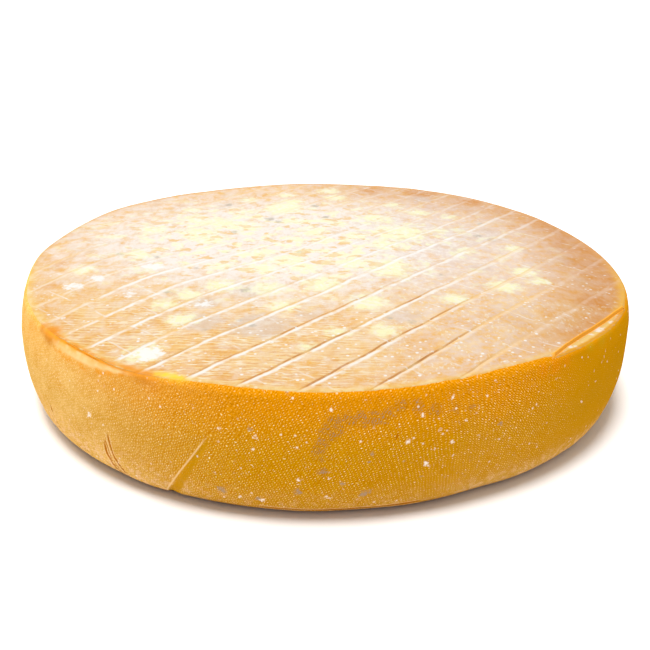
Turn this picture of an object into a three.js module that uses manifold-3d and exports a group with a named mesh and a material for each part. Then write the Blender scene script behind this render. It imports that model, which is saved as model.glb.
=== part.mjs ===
// A wheel of washed-rind cheese, pressed in cloth under a slatted lid. One solid.
//
// Millimetres, +Z up. The wheel rests on its flat base at z = 0 and the middle of its
// bounding box is over the origin. The front is towards -Y. Angles are in degrees,
// anticlockwise from +X when seen from above, and 'level' means height above the base.

import * as THREE from 'three';
import { mergeVertices } from 'three/addons/utils/BufferGeometryUtils.js';
import Module from 'manifold-3d';

const wasm = await Module();
wasm.setup();

// ---------- driving dimensions ----------

const MEAN_RADIUS = 170; // at the widest level of the side
const HEIGHT = 65; // from the base to the top face
const WIDEST_LEVEL = 35.3;
const LEAN_IN = { top: 4.4, base: 8 }; // how far the side draws in towards each face
const TOP_ROUNDING = 5;
const BASE_ROUNDING = 8;

// The wheel is a little out of round: each entry swells it by so much, so many times
// round, with the first swelling at that angle.
const LOBES = [
  { count: 2, swell: 0.8, at: 14 },
  { count: 3, swell: 0.5, at: -13 },
  { count: 4, swell: 1.4, at: -32 },
  { count: 5, swell: 0.8, at: -12 },
  { count: 6, swell: 0.3, at: 21 },
];

// Where the side bulges or is pinched, as [angle, level]. 'spread' is how far that
// reaches round, in degrees, and up.
const BULGES = [
  { at: [-119, 0], swell: 0.7, spread: [4, 14] },
  { at: [-92, 0], swell: 0.6, spread: [6, 14] },
  { at: [-75, 0], swell: 0.7, spread: [6, 14] },
  { at: [-62, 0], swell: -0.6, spread: [4, 14] },
  { at: [-52, 0], swell: 0.5, spread: [6, 14] },
  { at: [18, 0], swell: 0.7, spread: [6, 14] },
  { at: [78, 0], swell: -0.8, spread: [5, 14] },
  { at: [141, 0], swell: 0.8, spread: [5, 14] },
  { at: [-20, 57], swell: 1.2, spread: [12, 10] },
  { at: [33, 64], swell: 0.8, spread: [6, 14] },
  { at: [71, 64], swell: 1, spread: [5, 14] },
  { at: [97, 64], swell: 1.2, spread: [6, 14] },
  { at: [148, 64], swell: 0.9, spread: [7, 14] },
  { at: [178, 64], swell: 1.2, spread: [7, 12] },
  { at: [-166, 62], swell: -0.7, spread: [6, 10] },
];

// Marks of the slats on the top face: parallel steps that spread a little across it.
const SLATS = { heading: 49.8, middle: 8.8, spacing: 20.9, widening: 0.1, eachSide: 7 };
const SLAT_LIP = { width: 4.6, crest: 2.6, rise: 0.35 };
const SLAT_STEP = { depth: 0.9, width: 0.7 };

// The last slat at the right caught the rim and left a deeper step with a flat lip.
const RIM_SLAT = { offset: -161.4, depth: 1.9, lip: 5.4, crest: 4.6, rise: -1.5 };

// The marks at the back left are bowed, most of all at the edge of the wheel.
const SLAT_BOW = { middle: -82, reach: 90, sag: 5, growth: 0.1, from: -35, to: -5 };

// Marks of the shelf under the base: shallow grooves, so that the base stays flat.
const SHELF = { heading: -34, middle: 10.5, spacing: 21, widening: 0, eachSide: 7 };
const SHELF_GROOVE = { depth: 0.8, lead: 2.2, width: 0.7 };

// Slow swells of the top face: height of the wave, its length and the way it runs.
const TOP_WAVES = [
  { rise: 0.35, length: 150, heading: 20, start: 0.4 },
  { rise: 0.25, length: 95, heading: 110, start: 2.1 },
];

// Where the edge of the top face droops, and how far round that reaches, in degrees.
const RIM_DROOPS = [
  { at: -120, drop: 2.4, spread: 9 },
  { at: -141, drop: 1, spread: 20 },
  { at: -8, drop: 1.1, spread: 20 },
  { at: 116, drop: 0.7, spread: 14 },
];
const DROOP_START = 120; // the radius at which the face starts to fall away

// Folds of the press cloth on the side. Each runs through points of [angle, level].
// 'width' and 'depth' are given from the start to the end, and 'keel' is the share of
// the width at which the fold is deepest: near 0 gives a sharp edge and a gentle floor.
// The first was pressed just under the rim.
const FOLDS = [
  { path: [[-141, 60], [-136, 58.6], [-129, 57.1], [-124, 56.8], [-117.5, 59.9]], width: [4, 6, 6.9, 6.3, 0.8], depth: [0.3, 1.2, 1.5, 1.6, 0.5], keel: 0.9 },
  { path: [[-106.3, 42], [-109.2, 29], [-112.8, 14], [-115.6, 2]], width: [1.8, 6.2], depth: [0.6, 1.4], keel: 0.12 },
  { path: [[-124.8, 30], [-125, 21], [-124.8, 12], [-123.2, 4]], width: [1, 2], depth: [0.5, 1], keel: 0.5 },
  { path: [[-126, 23], [-126.4, 16], [-126.1, 9], [-124.9, 3]], width: [0.9, 1.7], depth: [0.4, 0.9], keel: 0.5 },
  { path: [[-141.7, 25], [-142.4, 15], [-141, 6]], width: [1.4, 2.2], depth: [0.5, 0.8], keel: 0.4 },
  { path: [[-101, 4.4], [-92, 3.6], [-84, 3.4], [-74, 4.4]], width: [0.9, 1.3], depth: [0.5, 0.8], keel: 0.4 },
  { path: [[152, 47], [155, 30], [156, 12], [155, 4]], width: [1.4, 3.6], depth: [0.5, 1.1], keel: 0.8 },
  { path: [[96, 38], [92, 24], [89, 10], [88, 3]], width: [1.6, 4.6], depth: [0.6, 1.3], keel: 0.16 },
  { path: [[61, 30], [62, 18], [60, 5]], width: [1, 1.8], depth: [0.5, 0.9], keel: 0.5 },
  { path: [[63.4, 22], [64.2, 13], [62.6, 4]], width: [0.8, 1.6], depth: [0.4, 0.8], keel: 0.5 },
  { path: [[22, 44], [27, 26], [30, 8]], width: [1.2, 3.2], depth: [0.5, 1.0], keel: 0.2 },
];

const RIND = { colour: 0xdb971c, roughness: 0.7 };

// ---------- how finely the solid is faceted ----------

const SECTORS = 120;
const LEVELS = [0.5, 1.4, 2.8, 5, 7.5, 11, 17, 26, 35.3, 45, 54, 60, 62, 63.5, 64.6, 65.4];
const SLAT_STEPS = 14;
const FOLD_STEPS = 10;

// The blank is this much too tall at each end. The faces are then cut flat and true.
const TOP_SPARE = 1;
const BASE_SPARE = 0.5;
const REACH = 190; // half the length of the cutting blocks, more than the radius

const radians = THREE.MathUtils.degToRad;
const { cos, sin, sqrt, PI } = Math;

// ---------- the surface of the side ----------

function plainRadius(angle) {
  let radius = MEAN_RADIUS;
  for (const { count, swell, at } of LOBES) {
    radius += swell * cos(count * radians(angle - at));
  }
  return radius;
}

// How far a quarter-round corner has drawn in, at some depth past where it starts.
function cornerInset(depth, rounding) {
  const reached = THREE.MathUtils.clamp(depth, 0, rounding);
  return rounding - sqrt(rounding * rounding - reached * reached);
}

// The signed turn from one angle to another, from -180 to 180.
function turnBetween(from, to) {
  return THREE.MathUtils.euclideanModulo(to - from + 180, 360) - 180;
}

function bulgeAt(angle, level) {
  let total = 0;
  for (const { at, swell, spread } of BULGES) {
    const round = turnBetween(at[0], angle) / spread[0];
    const up = (level - at[1]) / spread[1];
    total += swell * Math.exp(-round * round - up * up);
  }
  return total;
}

function sideRadius(angle, level) {
  const top = HEIGHT + TOP_SPARE;
  const base = -BASE_SPARE;
  const radius = plainRadius(angle) + bulgeAt(angle, level);
  if (level > WIDEST_LEVEL) {
    const share = (level - WIDEST_LEVEL) / (top - WIDEST_LEVEL);
    return radius - LEAN_IN.top * share * share
      - cornerInset(level - (top - TOP_ROUNDING), TOP_ROUNDING);
  }
  const share = (WIDEST_LEVEL - level) / (WIDEST_LEVEL - base);
  return radius - LEAN_IN.base * share * share
    - cornerInset(base + BASE_ROUNDING - level, BASE_ROUNDING);
}

// A point on the side, or 'outward' of it.
function sidePoint(angle, level, outward) {
  const radius = sideRadius(angle, level) + outward;
  return new THREE.Vector3(radius * cos(radians(angle)), radius * sin(radians(angle)), level);
}

// ---------- solids for cutting ----------

// Turns a closed geometry into a solid that can be cut. Only positions are kept.
function toSolid(geometry) {
  const bare = geometry.index ? geometry : geometry.clone();
  bare.deleteAttribute('normal');
  bare.deleteAttribute('uv');
  const merged = mergeVertices(bare, 1e-4);
  return new wasm.Manifold(new wasm.Mesh({
    numProp: 3,
    vertProperties: new Float32Array(merged.attributes.position.array),
    triVerts: new Uint32Array(merged.index.array),
  }));
}

function toGeometry(solid) {
  const mesh = solid.getMesh();
  const geometry = new THREE.BufferGeometry();
  geometry.setAttribute('position', new THREE.BufferAttribute(mesh.vertProperties, 3));
  geometry.setIndex(new THREE.BufferAttribute(mesh.triVerts, 1));
  return geometry;
}

// Moves every vertex of a geometry to where 'place' says.
function reshape(geometry, place) {
  const position = geometry.attributes.position;
  const point = new THREE.Vector3();
  for (let i = 0; i < position.count; i += 1) {
    point.fromBufferAttribute(position, i);
    const moved = place(point);
    position.setXYZ(i, moved.x, moved.y, moved.z);
  }
  return geometry;
}

// The blank wheel: a turned shape, pushed out of round.
function blankWheel() {
  const base = -BASE_SPARE;
  const top = HEIGHT + TOP_SPARE;
  const levels = [base, ...LEVELS, top];
  const profile = [new THREE.Vector2(0, base)];
  for (const level of levels) {
    profile.push(new THREE.Vector2(1, level));
  }
  profile.push(new THREE.Vector2(0, top));
  const turned = new THREE.LatheGeometry(profile, SECTORS);
  turned.rotateX(PI / 2);
  return toSolid(reshape(turned, ({ x, y, z }) => {
    const angle = THREE.MathUtils.radToDeg(Math.atan2(y, x));
    const radius = Math.hypot(x, y) < 0.5 ? 0 : sideRadius(angle, z);
    return new THREE.Vector3(radius * cos(radians(angle)), radius * sin(radians(angle)), z);
  }));
}

// ---------- the two faces ----------

// Where each mark crosses a line square to the marks, in rising order.
function markOffsets({ middle, spacing, widening, eachSide }) {
  const offsets = [];
  for (let k = eachSide; k >= -eachSide; k -= 1) {
    offsets.push(middle - spacing * k - widening * k * k);
  }
  return offsets;
}

// A block as wide as the wheel, with one marked face: 'section' is the marked line as
// [across, level] points in rising order, and 'far' is the level of the plain face.
function markedBlock(section, far, heading, steps) {
  const shape = new THREE.Shape();
  shape.moveTo(-REACH, far);
  shape.lineTo(REACH, far);
  for (const [across, level] of [...section].reverse()) {
    shape.lineTo(across, level);
  }
  const block = new THREE.ExtrudeGeometry(shape, { depth: 2 * REACH, steps, bevelEnabled: false });
  block.translate(0, 0, -REACH);
  const along = new THREE.Vector3(cos(radians(heading)), sin(radians(heading)), 0);
  const across = new THREE.Vector3(-along.y, along.x, 0);
  return block.applyMatrix4(new THREE.Matrix4().makeBasis(across, new THREE.Vector3(0, 0, 1), along));
}

// The slat marks are deepest at the front and fade towards the back.
function slatStrength(y) {
  return THREE.MathUtils.mapLinear(THREE.MathUtils.clamp(y, -160, 120), -160, 120, 1.3, 0.55);
}

// The value at a share of the way through a list of evenly spaced values.
function valueAlong(values, share) {
  const place = share * (values.length - 1);
  const before = Math.min(Math.floor(place), values.length - 2);
  return THREE.MathUtils.lerp(values[before], values[before + 1], place - before);
}

function topSwell(x, y) {
  let rise = 0;
  const angle = THREE.MathUtils.radToDeg(Math.atan2(y, x));
  const nearRim = THREE.MathUtils.smoothstep(Math.hypot(x, y), DROOP_START, MEAN_RADIUS);
  for (const { at, drop, spread } of RIM_DROOPS) {
    rise -= drop * nearRim * Math.exp(-((turnBetween(at, angle) / spread) ** 2));
  }
  for (const wave of TOP_WAVES) {
    const run = x * cos(radians(wave.heading)) + y * sin(radians(wave.heading));
    rise += wave.rise * sin((2 * PI * run) / wave.length + wave.start);
  }
  return rise;
}

// How far a mark is bowed sideways, at a place along it and across the wheel.
function slatBow(along, across) {
  const { middle, reach, sag, growth, from, to } = SLAT_BOW;
  const share = THREE.MathUtils.clamp((along - middle) / reach, -1, 1);
  const depth = (sag + growth * Math.max(across, 0)) * THREE.MathUtils.smoothstep(across, from, to);
  return (-depth * (1 - cos(PI * share))) / 2;
}

function topSection() {
  const { offset, lip, crest, rise, depth } = RIM_SLAT;
  const section = [[-REACH, HEIGHT + rise]];
  section.push([offset - lip, HEIGHT + rise]);
  section.push([offset - crest, HEIGHT + rise]);
  section.push([offset, HEIGHT - depth]);
  section.push([offset + SLAT_STEP.width, HEIGHT]);
  for (const mark of markOffsets(SLATS)) {
    section.push([mark - SLAT_LIP.width, HEIGHT]);
    section.push([mark - SLAT_LIP.crest, HEIGHT + SLAT_LIP.rise]);
    section.push([mark, HEIGHT - SLAT_STEP.depth]);
    section.push([mark + SLAT_STEP.width, HEIGHT]);
  }
  section.push([REACH, HEIGHT]);
  return section;
}

function topBlock() {
  const below = -10;
  const block = markedBlock(topSection(), below, SLATS.heading, SLAT_STEPS);
  const run = new THREE.Vector2(cos(radians(SLATS.heading)), sin(radians(SLATS.heading)));
  return toSolid(reshape(block, ({ x, y, z }) => {
    const bow = slatBow(x * run.x + y * run.y, y * run.x - x * run.y);
    const bowedX = x - bow * run.y;
    const bowedY = y + bow * run.x;
    const level = z === below
      ? z
      : HEIGHT + (z - HEIGHT) * slatStrength(bowedY) + topSwell(bowedX, bowedY);
    return new THREE.Vector3(bowedX, bowedY, level);
  }));
}

function baseBlock() {
  const section = [[-REACH, 0]];
  for (const offset of markOffsets(SHELF)) {
    section.push([offset - SHELF_GROOVE.lead, 0]);
    section.push([offset, SHELF_GROOVE.depth]);
    section.push([offset + SHELF_GROOVE.width, 0]);
  }
  section.push([REACH, 0]);
  return toSolid(markedBlock(section, HEIGHT + 10, SHELF.heading, 1));
}

// ---------- folds ----------

// A wedge along a fold, bent on to the side.
function foldCutter({ path, width, depth, keel }) {
  const route = new THREE.CatmullRomCurve3(path.map(([angle, level]) => (
    new THREE.Vector3(radians(angle) * MEAN_RADIUS, level, 0)
  )));
  const wedge = new THREE.BoxGeometry(1, 1, 1, 2, 1, FOLD_STEPS);
  return toSolid(reshape(wedge, ({ x, y, z }) => {
    const along = z + 0.5;
    const middle = route.getPointAt(along);
    const heading = route.getTangentAt(along);
    const wide = valueAlong(width, along);
    const deep = valueAlong(depth, along) * Math.min(1, along * 5);
    const across = (Math.abs(x) < 0.01 ? keel : x + 0.5) * wide;
    const angle = THREE.MathUtils.radToDeg((middle.x - heading.y * across) / MEAN_RADIUS);
    const level = middle.y + heading.x * across;
    const inward = Math.abs(x) < 0.01 ? deep : -0.05;
    return sidePoint(angle, level, y > 0 ? 2 : -inward);
  }));
}

// ---------- the wheel ----------

function cheeseWheel() {
  let wheel = blankWheel().intersect(topBlock()).intersect(baseBlock());
  for (const fold of FOLDS) {
    wheel = wheel.subtract(foldCutter(fold));
  }
  const geometry = toGeometry(wheel);
  geometry.computeBoundingBox();
  const middle = geometry.boundingBox.getCenter(new THREE.Vector3());
  geometry.translate(-middle.x, -middle.y, 0);
  geometry.computeVertexNormals();
  const material = new THREE.MeshStandardMaterial({
    color: RIND.colour,
    roughness: RIND.roughness,
    metalness: 0,
  });
  const mesh = new THREE.Mesh(geometry, material);
  mesh.name = 'cheese_wheel';
  return mesh;
}

const model = new THREE.Group();
model.add(cheeseWheel());

export default model;
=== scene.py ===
# %% [markdown]
# # A wheel of washed-rind cheese
# Fresh curd is pressed in cloth, under a lid and on a shelf of wooden slats, and the young
# wheel is then washed with brine for months. The cloth leaves its weave on the side, the
# slats leave steps on the faces, and the washing gives an orange rind with a pale bloom.
# The imported model gives the true size and place, so it is loaded first.

# %% The imported model
import math
from collections import namedtuple
from functools import reduce

import bpy
import numpy as np
from mathutils import Matrix


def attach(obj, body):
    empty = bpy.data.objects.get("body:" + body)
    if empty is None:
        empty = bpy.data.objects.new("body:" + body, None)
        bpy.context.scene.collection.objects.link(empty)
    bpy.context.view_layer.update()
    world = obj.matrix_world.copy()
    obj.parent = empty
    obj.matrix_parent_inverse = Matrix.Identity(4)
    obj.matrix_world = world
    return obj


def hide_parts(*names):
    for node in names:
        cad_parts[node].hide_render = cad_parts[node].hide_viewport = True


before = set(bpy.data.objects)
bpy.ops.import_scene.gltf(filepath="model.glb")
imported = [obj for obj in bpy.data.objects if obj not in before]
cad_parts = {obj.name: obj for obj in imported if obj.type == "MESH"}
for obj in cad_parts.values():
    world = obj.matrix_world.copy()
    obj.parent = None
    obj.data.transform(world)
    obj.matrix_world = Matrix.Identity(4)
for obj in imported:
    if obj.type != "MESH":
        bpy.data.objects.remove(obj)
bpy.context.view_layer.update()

MM = 0.001

# %% [markdown]
# ## The side
# The side bulges gently, as the curd settled in the press, and is a little out of round.
# A turned profile with a few slow waves and local bulges gives that. It is written as one
# function from an angle and a level to a radius, because the folds, the rim and the finish
# are all placed by asking it where the surface is.

# %% The side's radius
# Sizes of the turned blank in mm. It is a little taller than the wheel, and is then cut to it.
MEAN_RADIUS = 170.0
HEIGHT = 65.0
WIDEST_LEVEL = 35.3
LEAN_IN_TOP = 4.4
LEAN_IN_BASE = 8.0
TOP_ROUNDING = 5.0
BASE_ROUNDING = 8.0
BLANK_TOP = HEIGHT + 1.0
BLANK_FOOT = -0.5

# Waves round the wheel: how many, how high, and the angle of the first crest.
LOBES = [(2, 0.8, 14), (3, 0.5, -13), (4, 1.4, -32), (5, 0.8, -12), (6, 0.3, 21)]

# Bulges and pinches: angle, level, swell, and how far they reach round and up.
BULGES = [
    (-119, 0, 0.7, 4, 14),
    (-92, 0, 0.6, 6, 14),
    (-75, 0, 0.7, 6, 14),
    (-62, 0, -0.6, 4, 14),
    (-52, 0, 0.5, 6, 14),
    (18, 0, 0.7, 6, 14),
    (78, 0, -0.8, 5, 14),
    (141, 0, 0.8, 5, 14),
    (-20, 57, 1.2, 12, 10),
    (33, 64, 0.8, 6, 14),
    (71, 64, 1.0, 5, 14),
    (97, 64, 1.2, 6, 14),
    (148, 64, 0.9, 7, 14),
    (178, 64, 1.2, 7, 12),
    (-166, 62, -0.7, 6, 10),
]


def turn_between(start, end):
    """The signed turn from one angle to another, from -180 to 180 degrees."""
    return (end - start + 180.0) % 360.0 - 180.0


def corner_inset(depth, rounding):
    """How far a quarter-round corner has drawn in, at some depth past where it starts."""
    reached = np.clip(depth, 0, rounding)
    return rounding - np.sqrt(rounding**2 - reached**2)


def side_radius(angle, level):
    """Distance from the axis to the side, in mm, for angles in degrees and levels in mm."""
    angle, level = np.broadcast_arrays(np.asarray(angle, float), np.asarray(level, float))
    radius = np.full(angle.shape, MEAN_RADIUS)
    for count, swell, at in LOBES:
        radius += swell * np.cos(np.radians(count * (angle - at)))
    for at, up, swell, wide, tall in BULGES:
        radius += swell * np.exp(-((turn_between(at, angle) / wide) ** 2) - ((level - up) / tall) ** 2)
    upper = np.clip((level - WIDEST_LEVEL) / (BLANK_TOP - WIDEST_LEVEL), 0, None)
    lower = np.clip((WIDEST_LEVEL - level) / (WIDEST_LEVEL - BLANK_FOOT), 0, None)
    radius -= LEAN_IN_TOP * upper**2 + LEAN_IN_BASE * lower**2
    radius -= corner_inset(level - (BLANK_TOP - TOP_ROUNDING), TOP_ROUNDING)
    radius -= corner_inset(BLANK_FOOT + BASE_ROUNDING - level, BASE_ROUNDING)
    return radius


print("widest radius, mm:", round(float(side_radius(np.arange(360), WIDEST_LEVEL).max()), 1))

# %% [markdown]
# ## Uneven curd
# Nothing on a cheese is quite even. A soft random field, made by smoothing between seeded
# random values on a lattice, serves for slow relief here and for the finish later. It is
# worked out in space and not round the wheel, so it has no seam.

# %% A soft random field
LATTICE = 64


def cloud(points, size, seed):
    """A field from -1 to 1 at points in mm, whose patches are about 'size' across."""
    values = np.random.default_rng(seed).uniform(-1, 1, (LATTICE,) * 3)
    place = np.asarray(points, float) / size + LATTICE / 2
    cell = np.floor(place).astype(int)
    share = place - cell
    share = share * share * (3 - 2 * share)
    total = np.zeros(len(place))
    for corner in np.ndindex(2, 2, 2):
        weight = np.prod(np.where(np.array(corner), share, 1 - share), axis=1)
        i, j, k = ((cell + corner) % LATTICE).T
        total += weight * values[i, j, k]
    return total


def smooth_step(value, low, high):
    """Rises smoothly from 0 at 'low' to 1 at 'high'. Where 'low' is the greater, it falls."""
    share = np.clip((value - low) / (high - low), 0, 1)
    return share * share * (3 - 2 * share)


def between(value, low, full, fade, high):
    """1 from 'full' to 'fade', dying away to 0 at 'low' and at 'high'."""
    return smooth_step(value, low, full) * smooth_step(value, high, fade)


def plan_cloud(x, y, size, seed, level=0.0):
    """The random field over places in plan, handed back in the shape they came in."""
    x, y = np.broadcast_arrays(x, y)
    spots = np.stack([np.ravel(x), np.ravel(y), np.full(x.size, level)], 1)
    return cloud(spots, size, seed).reshape(x.shape)


sample = plan_cloud(np.arange(500.0), np.zeros(500), 20, 1)
print("a random field, along half a metre:", round(sample.min(), 2), "to", round(sample.max(), 2))

# %% [markdown]
# ## The top face
# Each slat of the lid left a mark: the curd rose to a low lip beside it, and stepped down
# where its edge pressed. The marks run parallel across the wheel. The height of the face is
# therefore a section drawn across the marks, made weaker towards the back, and laid over
# slow swells and drooping edges.

# %% The marks of the slats
SLAT_HEADING = 49.8
SLAT_MIDDLE = 8.8
SLAT_SPACING = 20.9
SLAT_WIDENING = 0.1
SLATS_EACH_SIDE = 7
LIP_FOOT = 4.6
LIP_CREST = 2.6
LIP_RISE = 0.35
STEP_DEPTH = 0.75
STEP_WIDTH = 0.6
RIM_SLAT_OFFSET = -161.4
RIM_SLAT_DEPTH = 1.5
RIM_SLAT_RISE = -1.5
RIM_SLAT_CREST = 4.6
RIM_STEP_WIDTH = 0.6
REACH = 190.0

steps = range(SLATS_EACH_SIDE, -SLATS_EACH_SIDE - 1, -1)
SLAT_OFFSETS = [SLAT_MIDDLE - SLAT_SPACING * k - SLAT_WIDENING * k * k for k in steps]

section = [
    (-REACH, RIM_SLAT_RISE),
    (RIM_SLAT_OFFSET - RIM_SLAT_CREST, RIM_SLAT_RISE),
    (RIM_SLAT_OFFSET, -RIM_SLAT_DEPTH),
    (RIM_SLAT_OFFSET + RIM_STEP_WIDTH, 0.0),
]
for offset in SLAT_OFFSETS:
    section.append((offset - LIP_FOOT, 0.0))
    section.append((offset - LIP_CREST, LIP_RISE))
    section.append((offset, -STEP_DEPTH))
    section.append((offset + STEP_WIDTH, 0.0))
section.append((REACH, 0.0))
SECTION_ACROSS, SECTION_RISE = np.array(section).T
print("slat marks:", len(SLAT_OFFSETS), "and one at the rim")

# %% How strong a mark is
# Pairs of places in mm and the strength there, and random relief as height, size and seed.
FRONT_TO_BACK = ([-160, 120], [0.8, 0.4])
MIDDLE_TO_RIGHT = ([45, 105], [1.0, 0.35])
BACK_LEFT_SHARE, FRONT_RIGHT_GAIN, GAIN_REACH = 0.4, 0.6, 150
EDGE_SHARE, INNER_GAIN, EDGE_REACH = 0.45, 0.55, (0.5, 5)
STRENGTH_NOISE = (0.35, 22, 11)


def mark_strength(x, y, across):
    """Strongest at the front, and weaker to the back, to the right and at the very edge."""
    strength = np.interp(y, *FRONT_TO_BACK)
    strength = strength * (BACK_LEFT_SHARE + FRONT_RIGHT_GAIN * smooth_step(x - y, 0, GAIN_REACH))
    from_edge = side_radius(np.degrees(np.arctan2(y, x)), HEIGHT) - np.hypot(x, y)
    strength = strength * (EDGE_SHARE + INNER_GAIN * smooth_step(from_edge, *EDGE_REACH))
    height, size, seed = STRENGTH_NOISE
    strength = strength * (1 + height * plan_cloud(x, y, size, seed))
    strength = strength * np.interp(x, *MIDDLE_TO_RIGHT)
    return np.where(across < RIM_SLAT_OFFSET + RIM_STEP_WIDTH, 1.0, strength)


print("strength of a mark, front and back:", FRONT_TO_BACK[1])

# %% The height of the top face
BOW_MIDDLE = -82.0
BOW_REACH = 90.0
BOW_SAG = 5.0
BOW_GROWTH = 0.1
BOW_FROM, BOW_TO = -35.0, -5.0
WOBBLE, WOBBLE_SIZE, WOBBLE_SEED, WOBBLE_LEVEL = 0.5, 14, 14, 40.0

# Slow swells: rise, length, heading and start. Then the curd's own: rise, size and seed.
TOP_WAVES = [(0.35, 150, 20, 0.4), (0.25, 95, 110, 2.1)]
TOP_CURD = [(0.22, 13, 12), (0.10, 5, 13)]

# Where the edge droops: angle, drop and how far round that reaches.
RIM_DROOPS = [(-120, 2.4, 9), (-141, 1.0, 20), (-8, 1.1, 20), (116, 0.7, 14)]
DROOP_START = 120.0

ALONG = np.array([math.cos(math.radians(SLAT_HEADING)), math.sin(math.radians(SLAT_HEADING))])
ACROSS = np.array([-ALONG[1], ALONG[0]])


def slat_bow(along, across):
    """How far a mark is bowed sideways: most at the back left, near the edge."""
    share = np.clip((along - BOW_MIDDLE) / BOW_REACH, -1, 1)
    depth = (BOW_SAG + BOW_GROWTH * np.maximum(across, 0)) * smooth_step(across, BOW_FROM, BOW_TO)
    wobble = WOBBLE * plan_cloud(along, across, WOBBLE_SIZE, WOBBLE_SEED, WOBBLE_LEVEL)
    return wobble - depth * (1 - np.cos(np.pi * share)) / 2


def on_top(along, across):
    """Plan position and level of places given along and across the slats."""
    across_bowed = across + slat_bow(along, across)
    x = along * ALONG[0] + across_bowed * ACROSS[0]
    y = along * ALONG[1] + across_bowed * ACROSS[1]
    level = HEIGHT + np.interp(across, SECTION_ACROSS, SECTION_RISE) * mark_strength(x, y, across)
    for rise, length, heading, start in TOP_WAVES:
        run = x * math.cos(math.radians(heading)) + y * math.sin(math.radians(heading))
        level = level + rise * np.sin(2 * np.pi * run / length + start)
    near_rim = smooth_step(np.hypot(x, y), DROOP_START, MEAN_RADIUS)
    angle = np.degrees(np.arctan2(y, x))
    for at, drop, spread in RIM_DROOPS:
        level = level - drop * near_rim * np.exp(-((turn_between(at, angle) / spread) ** 2))
    for rise, size, seed in TOP_CURD:
        level = level + rise * plan_cloud(x, y, size, seed)
    return x, y, level


front_middle = on_top(np.array([-100.0]), np.array([-80.0]))[2]
print("level of a place at the front, mm:", round(float(front_middle[0]), 2))

# %% [markdown]
# ## Rows of points
# A mark is a crisp line, and a mesh only keeps a line that its edges follow. So the top is
# made of rows of points laid along the slats, with a row on every foot, crest and step, and
# neighbouring rows are zipped together with triangles. A row ends where the face meets the
# side, which is found by halving the gap until it closes.

# %% Rows along the slats
ROW_TURN = 0.5
OUTER_ROW_DEPTH = 0.3
END_MARGIN = 0.2
LEAST_APART = 0.45
TRIAL_ALONG = np.arange(-REACH, REACH, 2.0)
TRIAL_ACROSS = np.arange(-REACH, REACH, 0.25)


def rim_gap(along, across):
    """How far a place on the top lies outside the side, at its own level."""
    x, y, level = on_top(along, across)
    return np.hypot(x, y) - side_radius(np.degrees(np.arctan2(y, x)), level)


def gaps_in_rows(gap, offsets):
    """The gap at trial places, with one line for each row."""
    return gap(*np.meshgrid(TRIAL_ALONG, offsets))


def outer_rows(gap, depth):
    """The first and last offset of which the row comes inside the side by some depth."""
    crossed = TRIAL_ACROSS[gaps_in_rows(gap, TRIAL_ACROSS).min(axis=1) < -depth]
    return crossed.min(), crossed.max()


def merged(plain, exact, low, high, margin, apart):
    """Row offsets: the exact ones, and the plain ones that are far enough from them."""
    exact = exact[(exact > low + margin) & (exact < high - margin)]
    nearest = np.abs(plain[:, None] - exact[None, :]).min(axis=1)
    return np.sort(np.concatenate([plain[nearest > apart], exact]))


low, high = outer_rows(rim_gap, OUTER_ROW_DEPTH)
turns = np.radians(np.arange(-90 + ROW_TURN, 90, ROW_TURN))
closer_at_ends = (low + high) / 2 + (high - low) / 2 * np.sin(turns)
top_offsets = merged(closer_at_ends, SECTION_ACROSS, low, high, END_MARGIN, LEAST_APART)
print("rows on the top:", len(top_offsets))

# %% Where each row ends
HALVINGS = 40


def halve_to_rim(gap, inside, outside, across):
    """The place between 'inside' and 'outside', along a row, at which it meets the side."""
    for _ in range(HALVINGS):
        half_way = (inside + outside) / 2
        out = gap(half_way, across) > 0
        outside = np.where(out, half_way, outside)
        inside = np.where(out, inside, half_way)
    return inside


def row_ends(gap, offsets):
    """Both ends of every row."""
    deepest = TRIAL_ALONG[gaps_in_rows(gap, offsets).argmin(axis=1)]
    return [halve_to_rim(gap, deepest, np.full_like(deepest, way * REACH), offsets) for way in (-1, 1)]


top_ends = row_ends(rim_gap, top_offsets)
print("the longest row, mm:", round(float((top_ends[1] - top_ends[0]).max())))

# %% Zipping two rows
points = []
faces = []


def add_points(new):
    """Adds points to the wheel and returns their numbers."""
    first = len(points)
    points.extend(map(tuple, new))
    return list(range(first, len(points)))


def zip_rows(near, near_at, far, far_at, up=True):
    """Triangles between two rows of points, matched by how far along each one is."""
    i = j = 0
    while i < len(near) - 1 or j < len(far) - 1:
        far_done = j == len(far) - 1
        if far_done or (i < len(near) - 1 and near_at[i + 1] <= far_at[j + 1]):
            triangle = (near[i], near[i + 1], far[j])
            i += 1
        else:
            triangle = (near[i], far[j + 1], far[j])
            j += 1
        faces.append(triangle if up else triangle[::-1])


print("words for a mesh:", [word.__name__ for word in (add_points, zip_rows)])

# %% A face of zipped rows
POINT_SPACING = 2.3
RIM_POINT = 0.8
LEAST_FOR_RIM_POINTS = 5


def row_places(low, high):
    """Places along a row, with one close to each end so that the rim turns over tightly."""
    count = max(2, round((high - low) / POINT_SPACING) + 1)
    spots = np.linspace(low, high, count)
    if count < LEAST_FOR_RIM_POINTS:
        return spots
    return np.concatenate([spots[:1], [low + RIM_POINT], spots[1:-1], [high - RIM_POINT], spots[-1:]])


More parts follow.
